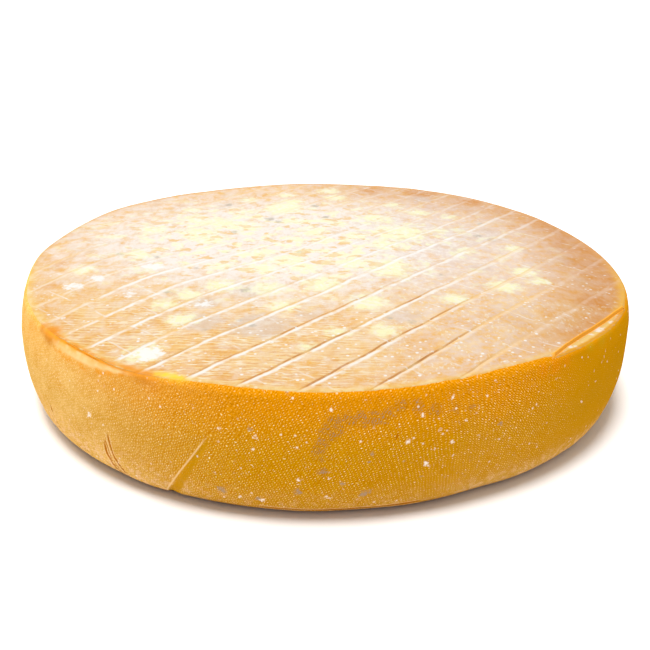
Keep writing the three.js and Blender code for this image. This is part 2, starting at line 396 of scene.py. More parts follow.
def zip_face(surface, offsets, ends, places_in_row, up=True):
    """Rows of points over a whole face, zipped together. Returns the loop of its edge."""
    rows = []
    for offset, low, high in zip(offsets, *ends):
        spots = places_in_row(low, high)
        row = add_points(np.stack(surface(spots, np.full_like(spots, offset)), 1))
        if rows:
            zip_rows(*rows[-1], row, spots, up)
        rows.append((row, spots))
    numbers = [row for row, _ in rows]
    highs_up = [row[-1] for row in numbers[1:-1]]
    lows_down = [row[0] for row in numbers[-2:0:-1]]
    return numbers[0] + highs_up + numbers[-1][::-1] + lows_down


rim = zip_face(on_top, top_offsets, top_ends, row_places)
top_count = len(points)
print("points on the top:", top_count, "triangles:", len(faces))

# %% [markdown]
# ## Folds of the press cloth
# Where the cloth was gathered, it pressed folds into the side: a sharp edge, and from it a
# floor that rises gently. They could be cut with wedges, but on a dense grid it is simpler
# to push the surface in by a depth that depends on the distance to the fold's line.

# %% The lines of the folds
# Each has a line through points of (angle, level), its widths and depths along that line, and
# the share of the width at which it is deepest.
Fold = namedtuple("Fold", "line widths depths keel")
LEFT_RIM_LINE = [(-142, 60.4), (-136, 58.7), (-130, 57.9), (-125, 58.8), (-119.5, 61.6)]
LEFT_RIM_FOLD = Fold(LEFT_RIM_LINE, [3.2, 5.0, 5.6, 4.2, 0.8], [0.3, 0.8, 1.0, 0.8, 0.2], 0.9)
WIDE_FOLDS = [
    Fold([(-106.3, 42), (-109.2, 29), (-112.8, 14), (-115.6, 2)], [1.8, 6.2], [0.6, 1.4], 0.12),
    Fold([(96, 38), (92, 24), (89, 10), (88, 3)], [1.6, 4.6], [0.6, 1.3], 0.16),
    Fold([(22, 44), (27, 26), (30, 8)], [1.2, 3.2], [0.5, 1.0], 0.2),
]
THIN_FOLDS = [
    Fold([(-124.8, 30), (-125, 21), (-124.8, 12), (-123.2, 4)], [1, 2], [0.5, 1.0], 0.5),
    Fold([(-126, 23), (-126.4, 16), (-126.1, 9), (-124.9, 3)], [0.9, 1.7], [0.4, 0.9], 0.5),
    Fold([(-141.7, 25), (-142.4, 15), (-141, 6)], [1.4, 2.2], [0.5, 0.8], 0.4),
    Fold([(-101, 4.4), (-92, 3.6), (-84, 3.4), (-74, 4.4)], [0.9, 1.3], [0.5, 0.8], 0.4),
    Fold([(152, 47), (155, 30), (156, 12), (155, 4)], [1.4, 3.6], [0.5, 1.1], 0.8),
    Fold([(61, 30), (62, 18), (60, 5)], [1, 1.8], [0.5, 0.9], 0.5),
    Fold([(63.4, 22), (64.2, 13), (62.6, 4)], [0.8, 1.6], [0.4, 0.8], 0.5),
]
FOLDS = [LEFT_RIM_FOLD] + WIDE_FOLDS + THIN_FOLDS
LINE_POINTS = 120
LINE_SMOOTHING = 31


def smooth_line(fold):
    """A smooth line through a fold's points, as (arc, level) in mm from its first angle."""
    first = fold.line[0][0]
    corners = np.array([(math.radians(angle - first) * MEAN_RADIUS, level) for angle, level in fold.line])
    run = np.concatenate([[0], np.cumsum(np.hypot(*np.diff(corners, axis=0).T))])
    even = np.linspace(0, run[-1], LINE_POINTS)
    line = np.stack([np.interp(even, run, corners[:, k]) for k in (0, 1)], 1)
    window = np.ones(LINE_SMOOTHING) / LINE_SMOOTHING
    padded = np.pad(line, ((LINE_SMOOTHING // 2,) * 2, (0, 0)), mode="reflect", reflect_type="odd")
    return np.stack([np.convolve(padded[:, k], window, mode="valid") for k in (0, 1)], 1)


print("folds:", len(FOLDS))

# %% How a place lies on a fold
FOLD_REACH = 22.0
PAST_END = 0.6
OFF_THE_FOLD = -2.0


def along_fold(length_share, values):
    """A width or a depth at a share of the fold's length."""
    return np.interp(length_share, np.linspace(0, 1, len(values)), values)


def near_fold(angle, fold):
    """The places that are close enough to a fold to need looking at."""
    fold_middle = np.mean([place[0] for place in fold.line])
    return np.flatnonzero(np.abs(turn_between(fold_middle, angle)) < FOLD_REACH)


def across_fold(angle, level, fold):
    """The shares of a fold's width and length at which places lie, and its width there."""
    line = smooth_line(fold)
    arc = np.radians(turn_between(fold.line[0][0], angle)) * MEAN_RADIUS
    heading = np.gradient(line, axis=0)
    heading /= np.linalg.norm(heading, axis=1)[:, None]
    away = np.stack([arc, level], 1)[:, None, :] - line[None, :, :]
    nearest = (away**2).sum(axis=2).argmin(axis=1)
    away = away[np.arange(len(arc)), nearest]
    ahead = heading[nearest]
    across = away[:, 1] * ahead[:, 0] - away[:, 0] * ahead[:, 1]
    beyond = np.abs((away * ahead).sum(axis=1)) > PAST_END
    length_share = nearest / (LINE_POINTS - 1)
    width = along_fold(length_share, fold.widths)
    return np.where(beyond, OFF_THE_FOLD, across / width), length_share, width


print("looked at round a fold, degrees to each side:", FOLD_REACH)

# %% Depth of the folds
DEEPENING = 5


def fold_depth(angle, level):
    """How far the folds push the side in. Each is at its full depth after a fifth of its length."""
    total = np.zeros(len(angle))
    for fold in FOLDS:
        close = near_fold(angle, fold)
        share, length_share, _ = across_fold(angle[close], level[close], fold)
        depth = along_fold(length_share, fold.depths)
        depth *= np.minimum(1, length_share * DEEPENING)
        total[close] += depth * np.interp(share, [0, fold.keel, 1], [0, 1, 0], left=0, right=0)
    return total


deepest = max(max(fold.depths) for fold in FOLDS)
print("the deepest fold, mm:", deepest)

# %% [markdown]
# ## The grid of the side
# Rings run round the wheel, closest together where the side turns under the rim and in to
# the base. Columns are closest at the front left, where the finest folds are. The top ring
# hangs just under the lowest notch of the rim, and is zipped to the ends of the rows.

# %% Rings and columns
COLUMNS = np.concatenate([np.arange(-180, -60, 0.4), np.arange(-60, 60, 0.5), np.arange(60, 180, 0.8)])
UNDER_RIM = [64.4, 63.8, 63.1, 62.3, 61.4, 60.3]
UP_THE_SIDE = list(np.arange(59.0, 8.0, -1.4))
ROUND_THE_FOOT = [7.4, 6.2, 5.1, 4.1, 3.2, 2.4, 1.7, 1.1, 0.6, 0.25, 0]
RING_LEVELS = np.array(UNDER_RIM + UP_THE_SIDE + ROUND_THE_FOOT)
NOTCH_REACH = 1.2
NOTCH_COLUMNS = 5
ABOVE_ALL = HEIGHT + 5


def angle_of(spots):
    """The angles round the wheel, in degrees, at which places lie."""
    spots = np.asarray(spots, float)
    return np.degrees(np.arctan2(spots[:, 1], spots[:, 0]))


def closed_loop(loop):
    """A loop of points turned to start near -180 degrees, closed, with its rising angles."""
    angles = angle_of(np.array(points)[loop])
    first = int(angles.argmin())
    loop = loop[first:] + loop[: first + 1]
    angles = np.degrees(np.unwrap(np.radians(np.append(angles[first:], angles[: first + 1]))))
    return loop, np.maximum.accumulate(angles)


rim, rim_angles = closed_loop(rim)
rim_levels = np.array(points)[rim][:, 2]
near_columns = np.abs(turn_between(COLUMNS[:, None], rim_angles[None, :])) < NOTCH_REACH
rim_low = np.where(near_columns, rim_levels[None, :], ABOVE_ALL).min(axis=1)
wrapped = np.concatenate([rim_low[-(NOTCH_COLUMNS // 2) :], rim_low, rim_low[: NOTCH_COLUMNS // 2]])
rim_low = np.convolve(wrapped, np.ones(NOTCH_COLUMNS) / NOTCH_COLUMNS, mode="valid")
print("lowest notch of the rim, mm:", round(float(rim_low.min()), 1))

# %% The skin of the side
FOLD_UNDER_RIM = 1.3

# The curd's own unevenness: rise, size of its patches and seed. It fades out towards the rim
# and the foot, over lengths in mm.
CURD_FADES = (4, 5)
SIDE_CURD = [(0.28, 17, 21), (0.13, 6, 22)]


def around(radius, level):
    """Points of one ring, with a radius and a level for every column."""
    return np.stack([radius * np.cos(np.radians(COLUMNS)), radius * np.sin(np.radians(COLUMNS)), level], 1)


rings = []
for standard in RING_LEVELS:
    level = rim_low * standard / HEIGHT
    even = side_radius(COLUMNS, level)
    curd = sum(rise * cloud(around(even, level), size, seed) for rise, size, seed in SIDE_CURD)
    fade = smooth_step(HEIGHT - standard, 0, CURD_FADES[0]) * smooth_step(standard, 0, CURD_FADES[1])
    pressed = fold_depth(COLUMNS, level) * smooth_step(rim_low - level, 0, FOLD_UNDER_RIM)
    rings.append(add_points(around(even - pressed + curd * fade, level)))
side_count = len(points)

closed_columns = np.append(COLUMNS, COLUMNS[0] + 360)
zip_rows(rings[0] + rings[0][:1], closed_columns, rim, rim_angles)
for upper, lower in zip(rings, rings[1:]):
    for c in range(len(COLUMNS)):
        after = (c + 1) % len(COLUMNS)
        faces.append((lower[c], lower[after], upper[after], upper[c]))
print("rings:", len(rings), "columns:", len(COLUMNS))

# %% [markdown]
# ## The base
# The wheel lies on a slatted shelf while it dries, so its base carries marks as well. Only
# shallow grooves are made, and the rest is left dead flat, because the wheel rests on it.
# The same rows are used as on the top, but with few points in each.

# %% Rows under the base
SHELF_HEADING = -34
SHELF_MIDDLE = 10.5
SHELF_SPACING = 21.0
GROOVE_DEPTH = 0.8
GROOVE_LEAD = 2.2
GROOVE_WIDTH = 0.7
BASE_EDGE = 1.5
BASE_ROW_DEPTH = 0.02
BASE_ROW_SPACING = 5.0
BASE_MARGIN = 1.0
BASE_POINTS = 8

groove = [(-REACH, 0.0)]
for k in steps:
    groove_at = SHELF_MIDDLE - SHELF_SPACING * k
    groove += [(groove_at - GROOVE_LEAD, 0.0), (groove_at, GROOVE_DEPTH), (groove_at + GROOVE_WIDTH, 0.0)]
groove.append((REACH, 0.0))
GROOVE_ACROSS, GROOVE_RISE = np.array(groove).T
shelf = math.radians(SHELF_HEADING)


def on_base(along, across):
    """Plan position and level of places given along and across the shelf's slats."""
    x = along * math.cos(shelf) - across * math.sin(shelf)
    y = along * math.sin(shelf) + across * math.cos(shelf)
    return x, y, np.interp(across, GROOVE_ACROSS, GROOVE_RISE)


def base_gap(along, across):
    """How far a place on the base lies outside its edge."""
    x, y, _ = on_base(along, across)
    return np.hypot(x, y) - (side_radius(np.degrees(np.arctan2(y, x)), 0) - BASE_EDGE)


def base_places(low, high):
    """A few even places along a row of the base."""
    return np.linspace(low, high, BASE_POINTS)


low, high = outer_rows(base_gap, BASE_ROW_DEPTH)
even_rows = np.arange(low, high, BASE_ROW_SPACING)
base_offsets = merged(even_rows, GROOVE_ACROSS, low, high, BASE_MARGIN, BASE_MARGIN)
base_rim = zip_face(on_base, base_offsets, row_ends(base_gap, base_offsets), base_places, up=False)
base_rim, base_angles = closed_loop(base_rim)
zip_rows(base_rim, base_angles, rings[-1] + rings[-1][:1], closed_columns)
print("points in all:", len(points), "faces:", len(faces))

# %% [markdown]
# ## One closed mesh
# The rind is one skin, so the points become one mesh. The frame's origin lies under the
# middle of the wheel's box, at the level of its foot, so the points are moved sideways to
# stand over it before they are turned into metres.

# %% The wheel as a mesh
SHARP_FROM = 48.0

places = np.array(points)
middle = (places.min(axis=0) + places.max(axis=0)) / 2
middle[2] = 0
centred = places - middle
mesh = bpy.data.meshes.new("wheel_rind")
mesh.from_pydata((centred * MM).tolist(), [], [tuple(int(n) for n in face) for face in faces])
mesh.shade_smooth()
mesh.set_sharp_from_angle(angle=math.radians(SHARP_FROM))
wheel = bpy.data.objects.new("wheel_rind", mesh)
bpy.context.scene.collection.objects.link(wheel)
sides = np.zeros(len(mesh.loops), int)
mesh.loops.foreach_get("edge_index", sides)
open_edges = int((np.bincount(sides, minlength=len(mesh.edges)) != 2).sum())
triangles = sum(len(face) - 2 for face in faces)
print("moved by, mm:", np.round(-middle, 2), "open edges:", open_edges, "triangles:", triangles)

# %% [markdown]
# ## Laying the surface out flat
# Two maps are made. One packs the whole skin into a square, as a picture of it needs: the
# side in three strips, the two faces as discs. The other is the press cloth laid on at true
# size, in metres, and the weave is drawn on it.

# %% Which part each face belongs to
corner_point = np.zeros(len(mesh.loops), int)
mesh.loops.foreach_get("vertex_index", corner_point)
corner_face = np.repeat(np.arange(len(faces)), [len(face) for face in faces])
form = places[corner_point]
face_size = np.bincount(corner_face)
face_middle = np.stack([np.bincount(corner_face, form[:, k]) / face_size for k in range(3)], 1)
all_top = np.bincount(corner_face, corner_point < top_count) == face_size
any_base = np.bincount(corner_face, corner_point >= side_count) > 0
TOP, SIDE, BASE = 1, 0, -1
kind = np.where(any_base, BASE, np.where(all_top, TOP, SIDE))[corner_face]
for name, part in (("side", SIDE), ("top", TOP), ("base", BASE)):
    print("corners of the", name + ":", int((kind == part).sum()))

# %% Two maps of the skin
SHEET = 1024
TOP_DISC = 556
BASE_DISC = 440
STRIPS = 3
STRIP_TURN = 360 / STRIPS
STRIP_TALL = 146
STRIP_GAP = 6
STRIP_MARGIN = 10
DISC_REACH = 173.0

middle_angle = angle_of(face_middle)[corner_face]
angle = middle_angle + turn_between(middle_angle, angle_of(form))
strip = np.clip(((middle_angle + 180) // STRIP_TURN).astype(int), 0, STRIPS - 1)
strip_wide = SHEET - 2 * STRIP_MARGIN
strip_u = STRIP_MARGIN + strip_wide * (angle - (STRIP_TURN * strip - 180)) / STRIP_TURN
strip_v = STRIP_GAP + strip * (STRIP_TALL + STRIP_GAP) + STRIP_TALL * form[:, 2] / BLANK_TOP


def disc(size, centre, facing):
    """Places on a disc of the sheet, seen from above when 'facing' is 1, from below when -1."""
    scale = size / 2 / DISC_REACH
    u = centre + scale * form[:, 0]
    return u, SHEET - STRIP_GAP - size / 2 + facing * scale * form[:, 1]


top_u, top_v = disc(TOP_DISC, STRIP_GAP + TOP_DISC / 2, 1)
base_u, base_v = disc(BASE_DISC, SHEET - STRIP_GAP - BASE_DISC / 2, -1)
packed_u = np.select([kind == TOP, kind == BASE], [top_u, base_u], strip_u) / SHEET
packed_v = np.select([kind == TOP, kind == BASE], [top_v, base_v], strip_v) / SHEET
cloth_u = np.where(kind == SIDE, np.radians(angle) * MEAN_RADIUS, form[:, 0]) * MM
cloth_v = np.where(kind == SIDE, form[:, 2], form[:, 1]) * MM
for name, u, v in (("OFBake", packed_u, packed_v), ("cloth", cloth_u, cloth_v)):
    layer = mesh.uv_layers.new(name=name)
    layer.uv.foreach_set("vector", np.stack([u, v], 1).ravel())
print("maps of the skin:", [layer.name for layer in mesh.uv_layers])

# %% [markdown]
# ## The camera
# It stands a little above the wheel, half a metre from its middle. It is placed before the
# finish, because the spots of the side are placed through it.

# %% A camera on the wheel
CAMERA_PLACE = (0.43, -495.33, 241.94)
LOOKS_DOWN = 23.936
TILT = 0.795
LENS = 50.0
SENSOR = 36.0

camera = bpy.data.objects.new("camera", bpy.data.cameras.new("camera"))
camera.data.lens = LENS
camera.data.sensor_width = SENSOR
look = Matrix.Rotation(math.radians(90 - LOOKS_DOWN), 4, "X") @ Matrix.Rotation(math.radians(TILT), 4, "Z")
camera.matrix_world = Matrix.Translation(np.array(CAMERA_PLACE) * MM) @ look
bpy.context.scene.collection.objects.link(camera)
bpy.context.scene.camera = camera
print("camera, mm from the middle:", round(math.dist(CAMERA_PLACE, (0, 0, 0))))

# %% [markdown]
# ## Where the spots are
# White yeast and grey mould grow where they like, so their places are data. Each is written
# where it appears in a view 650 points wide, with a radius in mm, and a ray from the camera
# finds its place on the rind. The back was given spots of its own by a seeded throw.

# %% Spots on the side
# Across and down in the view, and the radius in mm.
WHITE_SPOTS = [
    (254, 419, 1.0), (219, 429, 1.0), (255, 437, 1.6), (253, 450, 1.1), (331, 410, 1.4), (339, 399, 0.9),
    (301, 441, 1.0), (296, 448, 1.2), (307, 467, 1.1), (215, 473, 1.1), (247, 473, 1.0), (262, 478, 0.9),
    (299, 479, 1.6), (298, 484, 1.1), (328, 479, 1.2), (331, 471, 1.0), (241, 496, 1.4), (224, 497, 1.2),
    (326, 497, 1.3), (331, 498, 1.1), (282, 495, 1.0), (262, 500, 1.8), (344, 489, 0.9), (350, 465, 0.8),
    (453, 397, 1.6), (423, 415, 1.6), (440, 430, 1.4), (466, 420, 1.1), (492, 410, 1.0), (479, 407, 1.1),
    (408, 442, 1.8), (452, 441, 1.7), (435, 448, 1.4), (454, 455, 1.3), (426, 464, 1.9), (429, 466, 1.2),
    (366, 400, 1.0), (396, 454, 0.9), (479, 435, 1.0), (506, 394, 0.9), (468, 384, 0.9), (496, 381, 1.1),
    (489, 462, 1.0), (382, 477, 0.9), (414, 449, 0.9), (367, 442, 0.9), (466, 410, 0.9), (372, 489, 0.8),
    (515, 421, 0.8), (508, 421, 0.8), (508, 446, 1.0), (89, 415, 1.9), (83, 407, 1.3), (92, 424, 0.9),
    (104, 386, 1.2), (69, 380, 1.0), (79, 435, 1.1), (101, 442, 1.0), (46, 391, 0.9), (192, 407, 1.2),
    (29, 335, 1.1), (32, 367, 1.1), (606, 350, 1.2), (604, 356, 1.0), (602, 361, 1.0), (594, 371, 1.2),
    (596, 381, 1.1), (589, 385, 0.9), (535, 384, 0.8), (264, 392, 0.9), (185, 412, 0.8), (208, 437, 0.8),
    (288, 391, 1.1), (352, 385, 1.0), (477, 375, 1.4), (568, 350, 1.3), (586, 408, 1.0), (580, 415, 0.9),
]
MOULD_SPOTS = [
    (322, 472, 1.9), (342, 484, 1.7), (298, 492, 1.9), (222, 490, 2.2), (248, 487, 1.1), (291, 446, 1.0),
    (250, 428, 1.3), (422, 476, 1.2), (404, 462, 1.0), (412, 462, 0.9), (500, 424, 1.2), (363, 494, 2.2),
    (369, 492, 1.6), (368, 462, 0.9), (373, 454, 1.0), (288, 391, 1.4), (258, 499, 1.6), (235, 475, 1.0),
]
MOULD_ARC = [
    (472, 408, 2.0), (455, 409, 2.6), (435, 410, 3.2), (418, 406, 3.6), (402, 407, 4.0), (388, 415, 4.2),
    (375, 419, 4.6), (362, 420, 4.4), (349, 421, 4.2), (336, 427, 5.0), (328, 433, 4.6), (321, 442, 4.0),
    (318, 451, 3.2), (321, 460, 2.8), (323, 472, 2.6),
]
BURNT_PATCHES = [
    (44, 328, 4.5), (50, 333, 7.0), (56, 339, 4.0), (128, 368, 3.0), (135, 373, 4.0), (143, 377, 4.6),
    (151, 380, 3.6),
]
RED_PATCHES = [
    (545, 369, 5.0), (556, 365, 6.0), (566, 361, 4.0), (384, 391, 5.0), (372, 394, 4.0), (150, 386, 6.0),
]
GREEN_PATCHES = [(598, 334, 7.0), (604, 328, 6.0), (590, 344, 5.0), (612, 322, 5.0)]
# The yellow shoulder of the left rim: the side's yellow finish, and a painted highlight where the rounding
# catches the light.
SHOULDER_AND_HIGHLIGHT_SPOTS = [(158, 373, 2.4), (165, 375, 3.2), (173, 376, 3.4), (181, 378, 3.0), (188, 380, 2.0)]
CRACK = [(398, 434, 2.0), (397, 437, 2.0), (395, 440, 1.8)]
print("spots placed by eye:", len(WHITE_SPOTS) + len(MOULD_SPOTS))

# %% Specks on the top
TOP_SPECKS = [
    (229, 205, 3.2), (269, 219, 4.0), (278, 222, 3.0), (235, 232, 3.0), (120, 254, 3.2), (157, 257, 2.8),
    (315, 206, 3.2), (225, 252, 2.4), (167, 292, 2.6), (246, 290, 3.6), (252, 325, 2.8), (240, 320, 2.4),
    (480, 224, 2.8), (478, 236, 3.4), (492, 240, 3.0), (477, 270, 2.6), (390, 318, 2.4), (412, 322, 2.6),
    (326, 217, 3.0), (300, 252, 2.4), (196, 268, 2.4), (358, 300, 2.2), (205, 330, 2.0), (441, 275, 2.4),
]
print("grey specks on the top:", len(TOP_SPECKS))

# %% From the view to the rind
VIEW_POINTS = 650
FAR_FROM_SPOT = -20.0

bpy.context.view_layer.update()


def seen_at(across, down):
    """The place on the form, in mm, that the camera sees at a point of its view."""
    focal = LENS / SENSOR * VIEW_POINTS
    aim = np.array([across - VIEW_POINTS / 2, VIEW_POINTS / 2 - down, -focal])
    turn = np.array(camera.matrix_world.to_3x3())
    hit, spot, _, _ = wheel.ray_cast(camera.matrix_world.translation, turn @ (aim / np.linalg.norm(aim)))
    return np.array(spot) / MM + middle if hit else None


def spread_of(spots):
    """For every point of the mesh, how deep it lies inside the nearest spot, in mm."""
    inside = np.full(len(places), FAR_FROM_SPOT)
    for across, down, radius in spots:
        spot = seen_at(across, down)
        if spot is not None:
            inside = np.maximum(inside, radius - np.linalg.norm(places - spot, axis=1))
    return inside


def store(name, values):
    """Keeps one value for every point, under a name that the material reads."""
    kept = mesh.attributes.new(name, "FLOAT", "POINT")
    kept.data.foreach_set("value", np.asarray(values, np.float32))


EYE_PLACED = {
    "mould_arc": MOULD_ARC,
    "burnt_patch": BURNT_PATCHES,
    "red_patch": RED_PATCHES,
    "green_patch": GREEN_PATCHES,
    "shoulder_and_highlight_share": SHOULDER_AND_HIGHLIGHT_SPOTS,
    "crack": CRACK,
    "grey_speck": TOP_SPECKS,
}
for name, spots in EYE_PLACED.items():
    store(name, spread_of(spots))
print("a spot in the middle of the view lies at, mm:", np.round(seen_at(VIEW_POINTS / 2, VIEW_POINTS / 2)))

# %% Spots thrown on the back
BACK_SPOTS = 70
MOULD_EVERY = 4

throw = np.random.default_rng(31)
back_angle = throw.uniform(5, 175, BACK_SPOTS)
back_level = throw.triangular(3, 15, 60, BACK_SPOTS)
back_radius = throw.uniform(0.8, 2.0, BACK_SPOTS)
white = spread_of(WHITE_SPOTS)
mould = spread_of(MOULD_SPOTS)
for number, (turn, level, radius) in enumerate(zip(back_angle, back_level, back_radius)):
    reach = float(side_radius(turn, level))
    spot = np.array([reach * math.cos(math.radians(turn)), reach * math.sin(math.radians(turn)), level])
    inside = radius - np.linalg.norm(places - spot, axis=1)
    if number % MOULD_EVERY == 0:
        mould = np.maximum(mould, inside)
    else:
        white = np.maximum(white, inside)
store("white_spot", white)
store("mould_spot", mould)
print("spots on the side:", len(WHITE_SPOTS) + len(MOULD_SPOTS) + BACK_SPOTS)

# %% [markdown]
# ## Patches of the top face
# On the top, the bloom is thickest in the middle, with patches of pale yellow mould and some
# grey in it, and bare rind near the edge. Places are in mm from the middle, with a radius.

# %% Patches on the top
YELLOW_PATCHES = [
    (2, 143, 8), (7, 125, 7), (-28, 130, 6), (-53, 118, 6), (-23, 113, 8), (-28, 97, 14), (47, 108, 6),
    (62, 92, 8), (83, 85, 5), (33, 77, 9), (-53, 87, 6), (-90, 93, 6), (-85, 70, 9), (-68, 63, 11),
    (-52, 57, 11), (-107, 47, 9), (-78, 42, 11), (-70, 32, 10), (-7, 48, 9), (10, 65, 6), (20, 40, 8),
    (47, 47, 17), (37, 23, 10), (73, 53, 6), (113, 20, 6), (83, 13, 6), (-107, 0, 8), (-37, 7, 8),
    (-20, -7, 11), (-12, -18, 9), (17, -10, 10), (37, -17, 14), (-33, -20, 9), (-58, -17, 8),
    (-133, -27, 7), (-55, -47, 9), (-30, -50, 9), (0, -42, 11), (-20, -73, 8), (23, -67, 11),
    (68, -62, 8), (97, -42, 9), (113, -18, 8), (118, -33, 6), (-70, -60, 7), (-80, -75, 7),
    (-68, -93, 8), (-80, -128, 9), (7, -105, 6), (-7, -122, 5), (30, -103, 7),
]
WHITE_PATCHES = [
    (-132, -52, 5), (-122, -40, 5), (-78, -129, 7), (-100, -62, 4), (-95, -20, 6), (-60, -72, 5),
]
GREY_PATCHES = [
    (-30, -98, 16), (-40, -52, 12), (-58, -95, 12), (-32, 72, 8), (-66, 102, 8), (-100, -5, 8),
    (95, 45, 20), (68, 125, 8), (88, -12, 8), (-60, -70, 9), (-5, -85, 8), (40, -85, 9), (70, 20, 12),
]
ORANGE_PATCHES = [
    (-5, 30, 6), (-25, 35, 6), (35, 25, 7), (-20, -38, 6), (-82, 60, 5), (5, 98, 5), (32, 148, 9),
    (70, 140, 12), (102, 118, 8), (-150, -20, 7), (-145, -50, 6), (140, -60, 8),
]
FAR_FROM_PATCH = -40.0

TOP_PATCHES = {
    "yellow_patch": YELLOW_PATCHES,
    "white_patch": WHITE_PATCHES,
    "grey_patch": GREY_PATCHES,
    "orange_patch": ORANGE_PATCHES,
}
x, y, levels = places.T
for name, patches in TOP_PATCHES.items():
    inside = np.full(len(places), FAR_FROM_PATCH)
    for patch_x, patch_y, radius in patches:
        inside = np.maximum(inside, radius - np.hypot(x - patch_x, y - patch_y))
    store(name, inside)
print("patches on the top:", sum(len(patches) for patches in TOP_PATCHES.values()))

# %% [markdown]
# ## What changes slowly over the rind
# The finish also needs to know where it is: on which part, how far from a mark or from the
# edge, how dusty, how worn. These could be painted by hand, but are worked out here from the
# sizes of the form, so that the finish follows every mark and fold, and kept as one number
# for every point. Angles are in degrees, with the front at -90, and lengths in mm.

# %% Marks and bloom of the top
BLOOM_MIDDLE = (-24, 28)
BLOOM_REACH = (158, 114)

angles = angle_of(places)
is_top = (np.arange(len(places)) < top_count).astype(float)
row_along, row_across = places[:, :2] @ ALONG, places[:, :2] @ ACROSS
bowed = row_across - slat_bow(row_along, row_across)
beside = bowed[:, None] - np.array(SLAT_OFFSETS)[None, :]
beside = np.take_along_axis(beside, np.abs(beside).argmin(axis=1)[:, None], axis=1)[:, 0]
bloom_x, bloom_y = (x - BLOOM_MIDDLE[0]) / BLOOM_REACH[0], (y - BLOOM_MIDDLE[1]) / BLOOM_REACH[1]
back_left = 0.3 + 0.7 * smooth_step(y - 0.4 * x, 70, 0)
right_end = 1 - 0.8 * smooth_step(x - 0.4 * y, 60, 130)
left_end = 1 - 0.6 * smooth_step(x, -95, -130)
brown_reach = smooth_step(x - y, 30, 110) * smooth_step(y, -30, -70)
store("on_top", is_top)
store("along_marks", row_along)
store("beside_mark", beside)
store("near_mark", smooth_step(np.abs(beside), 7, 5) * is_top)
store("mark_white", back_left * right_end * left_end)
store("front_right", brown_reach * smooth_step(x, 85, 50))
store("bloom", smooth_step(np.hypot(bloom_x, bloom_y), 1.25, 0.35))
store("sharp", smooth_step(y, 30, -120))
store("striped", smooth_step(y, -20, -90) * between(x, -150, -110, -10, 60))
store("right_side", smooth_step(x, 5, 70))
print("share of the points near a mark:", round(float((np.abs(beside) < 5).mean()), 2))

# %% Edge and ledge of the top
from_edge = side_radius(angles, HEIGHT - 1) - np.hypot(x, y)
edge_shade = smooth_step(from_edge, 62, 8) * between(angles, -64, -36, 62, 110)
end_shade = smooth_step(x - 0.1 * y, 112, 158)
on_ledge = smooth_step(bowed, RIM_SLAT_OFFSET + 0.5, RIM_SLAT_OFFSET - 0.1)
wall_line = between(bowed - RIM_SLAT_OFFSET, -0.4, 0, 0.6, 1.5)
left_rim = smooth_step(np.abs(from_edge), 2.4, 0.4) * between(angles, -146, -140, -116, -110)
store("edge", from_edge)
# Painted shade: how far the top's edge to the right and behind is darkened, where the light falls off.
store("far_painted_shade", np.clip(0.62 * edge_shade + 0.5 * end_shade, 0, 1) * is_top)
store("ledge", on_ledge * is_top)
store("ledge_wall", wall_line * is_top)
store("left_rim", left_rim * smooth_step(levels, 45, 55))
store("right_rim", smooth_step(x, 70, 140))
print("points on the ledge:", int((on_ledge * is_top > 0.5).sum()))

# %% Dust, cloth and rim of the side
# How far the upright threads of the cloth lean over, at angles round the wheel.
LEAN_ANGLES = [-180, -117, -102, -92, -82, -70, -58, -48, 0, 90, 180]
LEANS = [0.3, 0.8, 0.56, 0.44, 0.4, 0.12, -0.24, -0.35, -0.1, 0.1, 0.3]

# The left of the side is paler: dust, and partly painted light, as the light is stronger there.
left_dust_and_painted_light = smooth_step(angles, -96, -138) + smooth_step(angles, 100, 180)
front_dust = (0.05 + 0.5 * smooth_step(levels, 16, 3)) * smooth_step(angles, -74, -62)
right_dust = 0.55 * between(angles, -26, -8, 40, 100)
foot_dust = 0.3 * smooth_step(levels, 22, 4)
all_dust = left_dust_and_painted_light + (front_dust * smooth_step(levels, 52, 34) + right_dust) + foot_dust
rim_at = np.interp(angles, closed_columns, np.append(rim_low, rim_low[0]))
store("dust", np.clip(all_dust, 0, 1))
store("lean", np.interp(angles, LEAN_ANGLES, LEANS))
store("slant", between(angles, -82, -62, 0, 20))
store("bare", between(angles, -62, -40, 0, 60))
store("under_edge", rim_at - levels)
print("dust on the side, on average:", round(float(all_dust[top_count:side_count].mean()), 2))

# %% Lines along the folds
FAR_AWAY = 30.0
LINE_REACH = 2.0
CREASE_BLUR = 0.9
ON_THE_FOLD = -1.9


def crease_of(folds, low, high, start=0.0):
    """How close each point is to the band between two shares of a fold's width, 0 to 1."""
    total = np.zeros(len(places))
    for fold in folds:
        close = near_fold(angles, fold)
        share, length_share, width = across_fold(angles[close], levels[close], fold)
        off = np.maximum(low * width - share * width, share * width - high * width)
        fade = smooth_step(length_share, start, start + 0.12) * (share > -1)
        total[close] = np.maximum(total[close], fade * smooth_step(off, CREASE_BLUR, 0))
    return total


def fold_lines(folds, centre):
    """Distance in mm across the nearest fold from a share of its width, and how near it is."""
    distance = np.full(len(places), FAR_AWAY)
    present = np.zeros(len(places))
    for fold in folds:
        close = near_fold(angles, fold)
        share, length_share, width = across_fold(angles[close], levels[close], fold)
        across = (share - centre) * width
        nearer = (np.abs(across) < np.abs(distance[close])) & (share > ON_THE_FOLD)
        distance[close[nearer]] = across[nearer]
        reach = smooth_step(length_share, 0, 0.15) * smooth_step(np.abs(across), LINE_REACH + 2, LINE_REACH)
        present[close] = np.maximum(present[close], reach * (share > ON_THE_FOLD))
    return distance, present


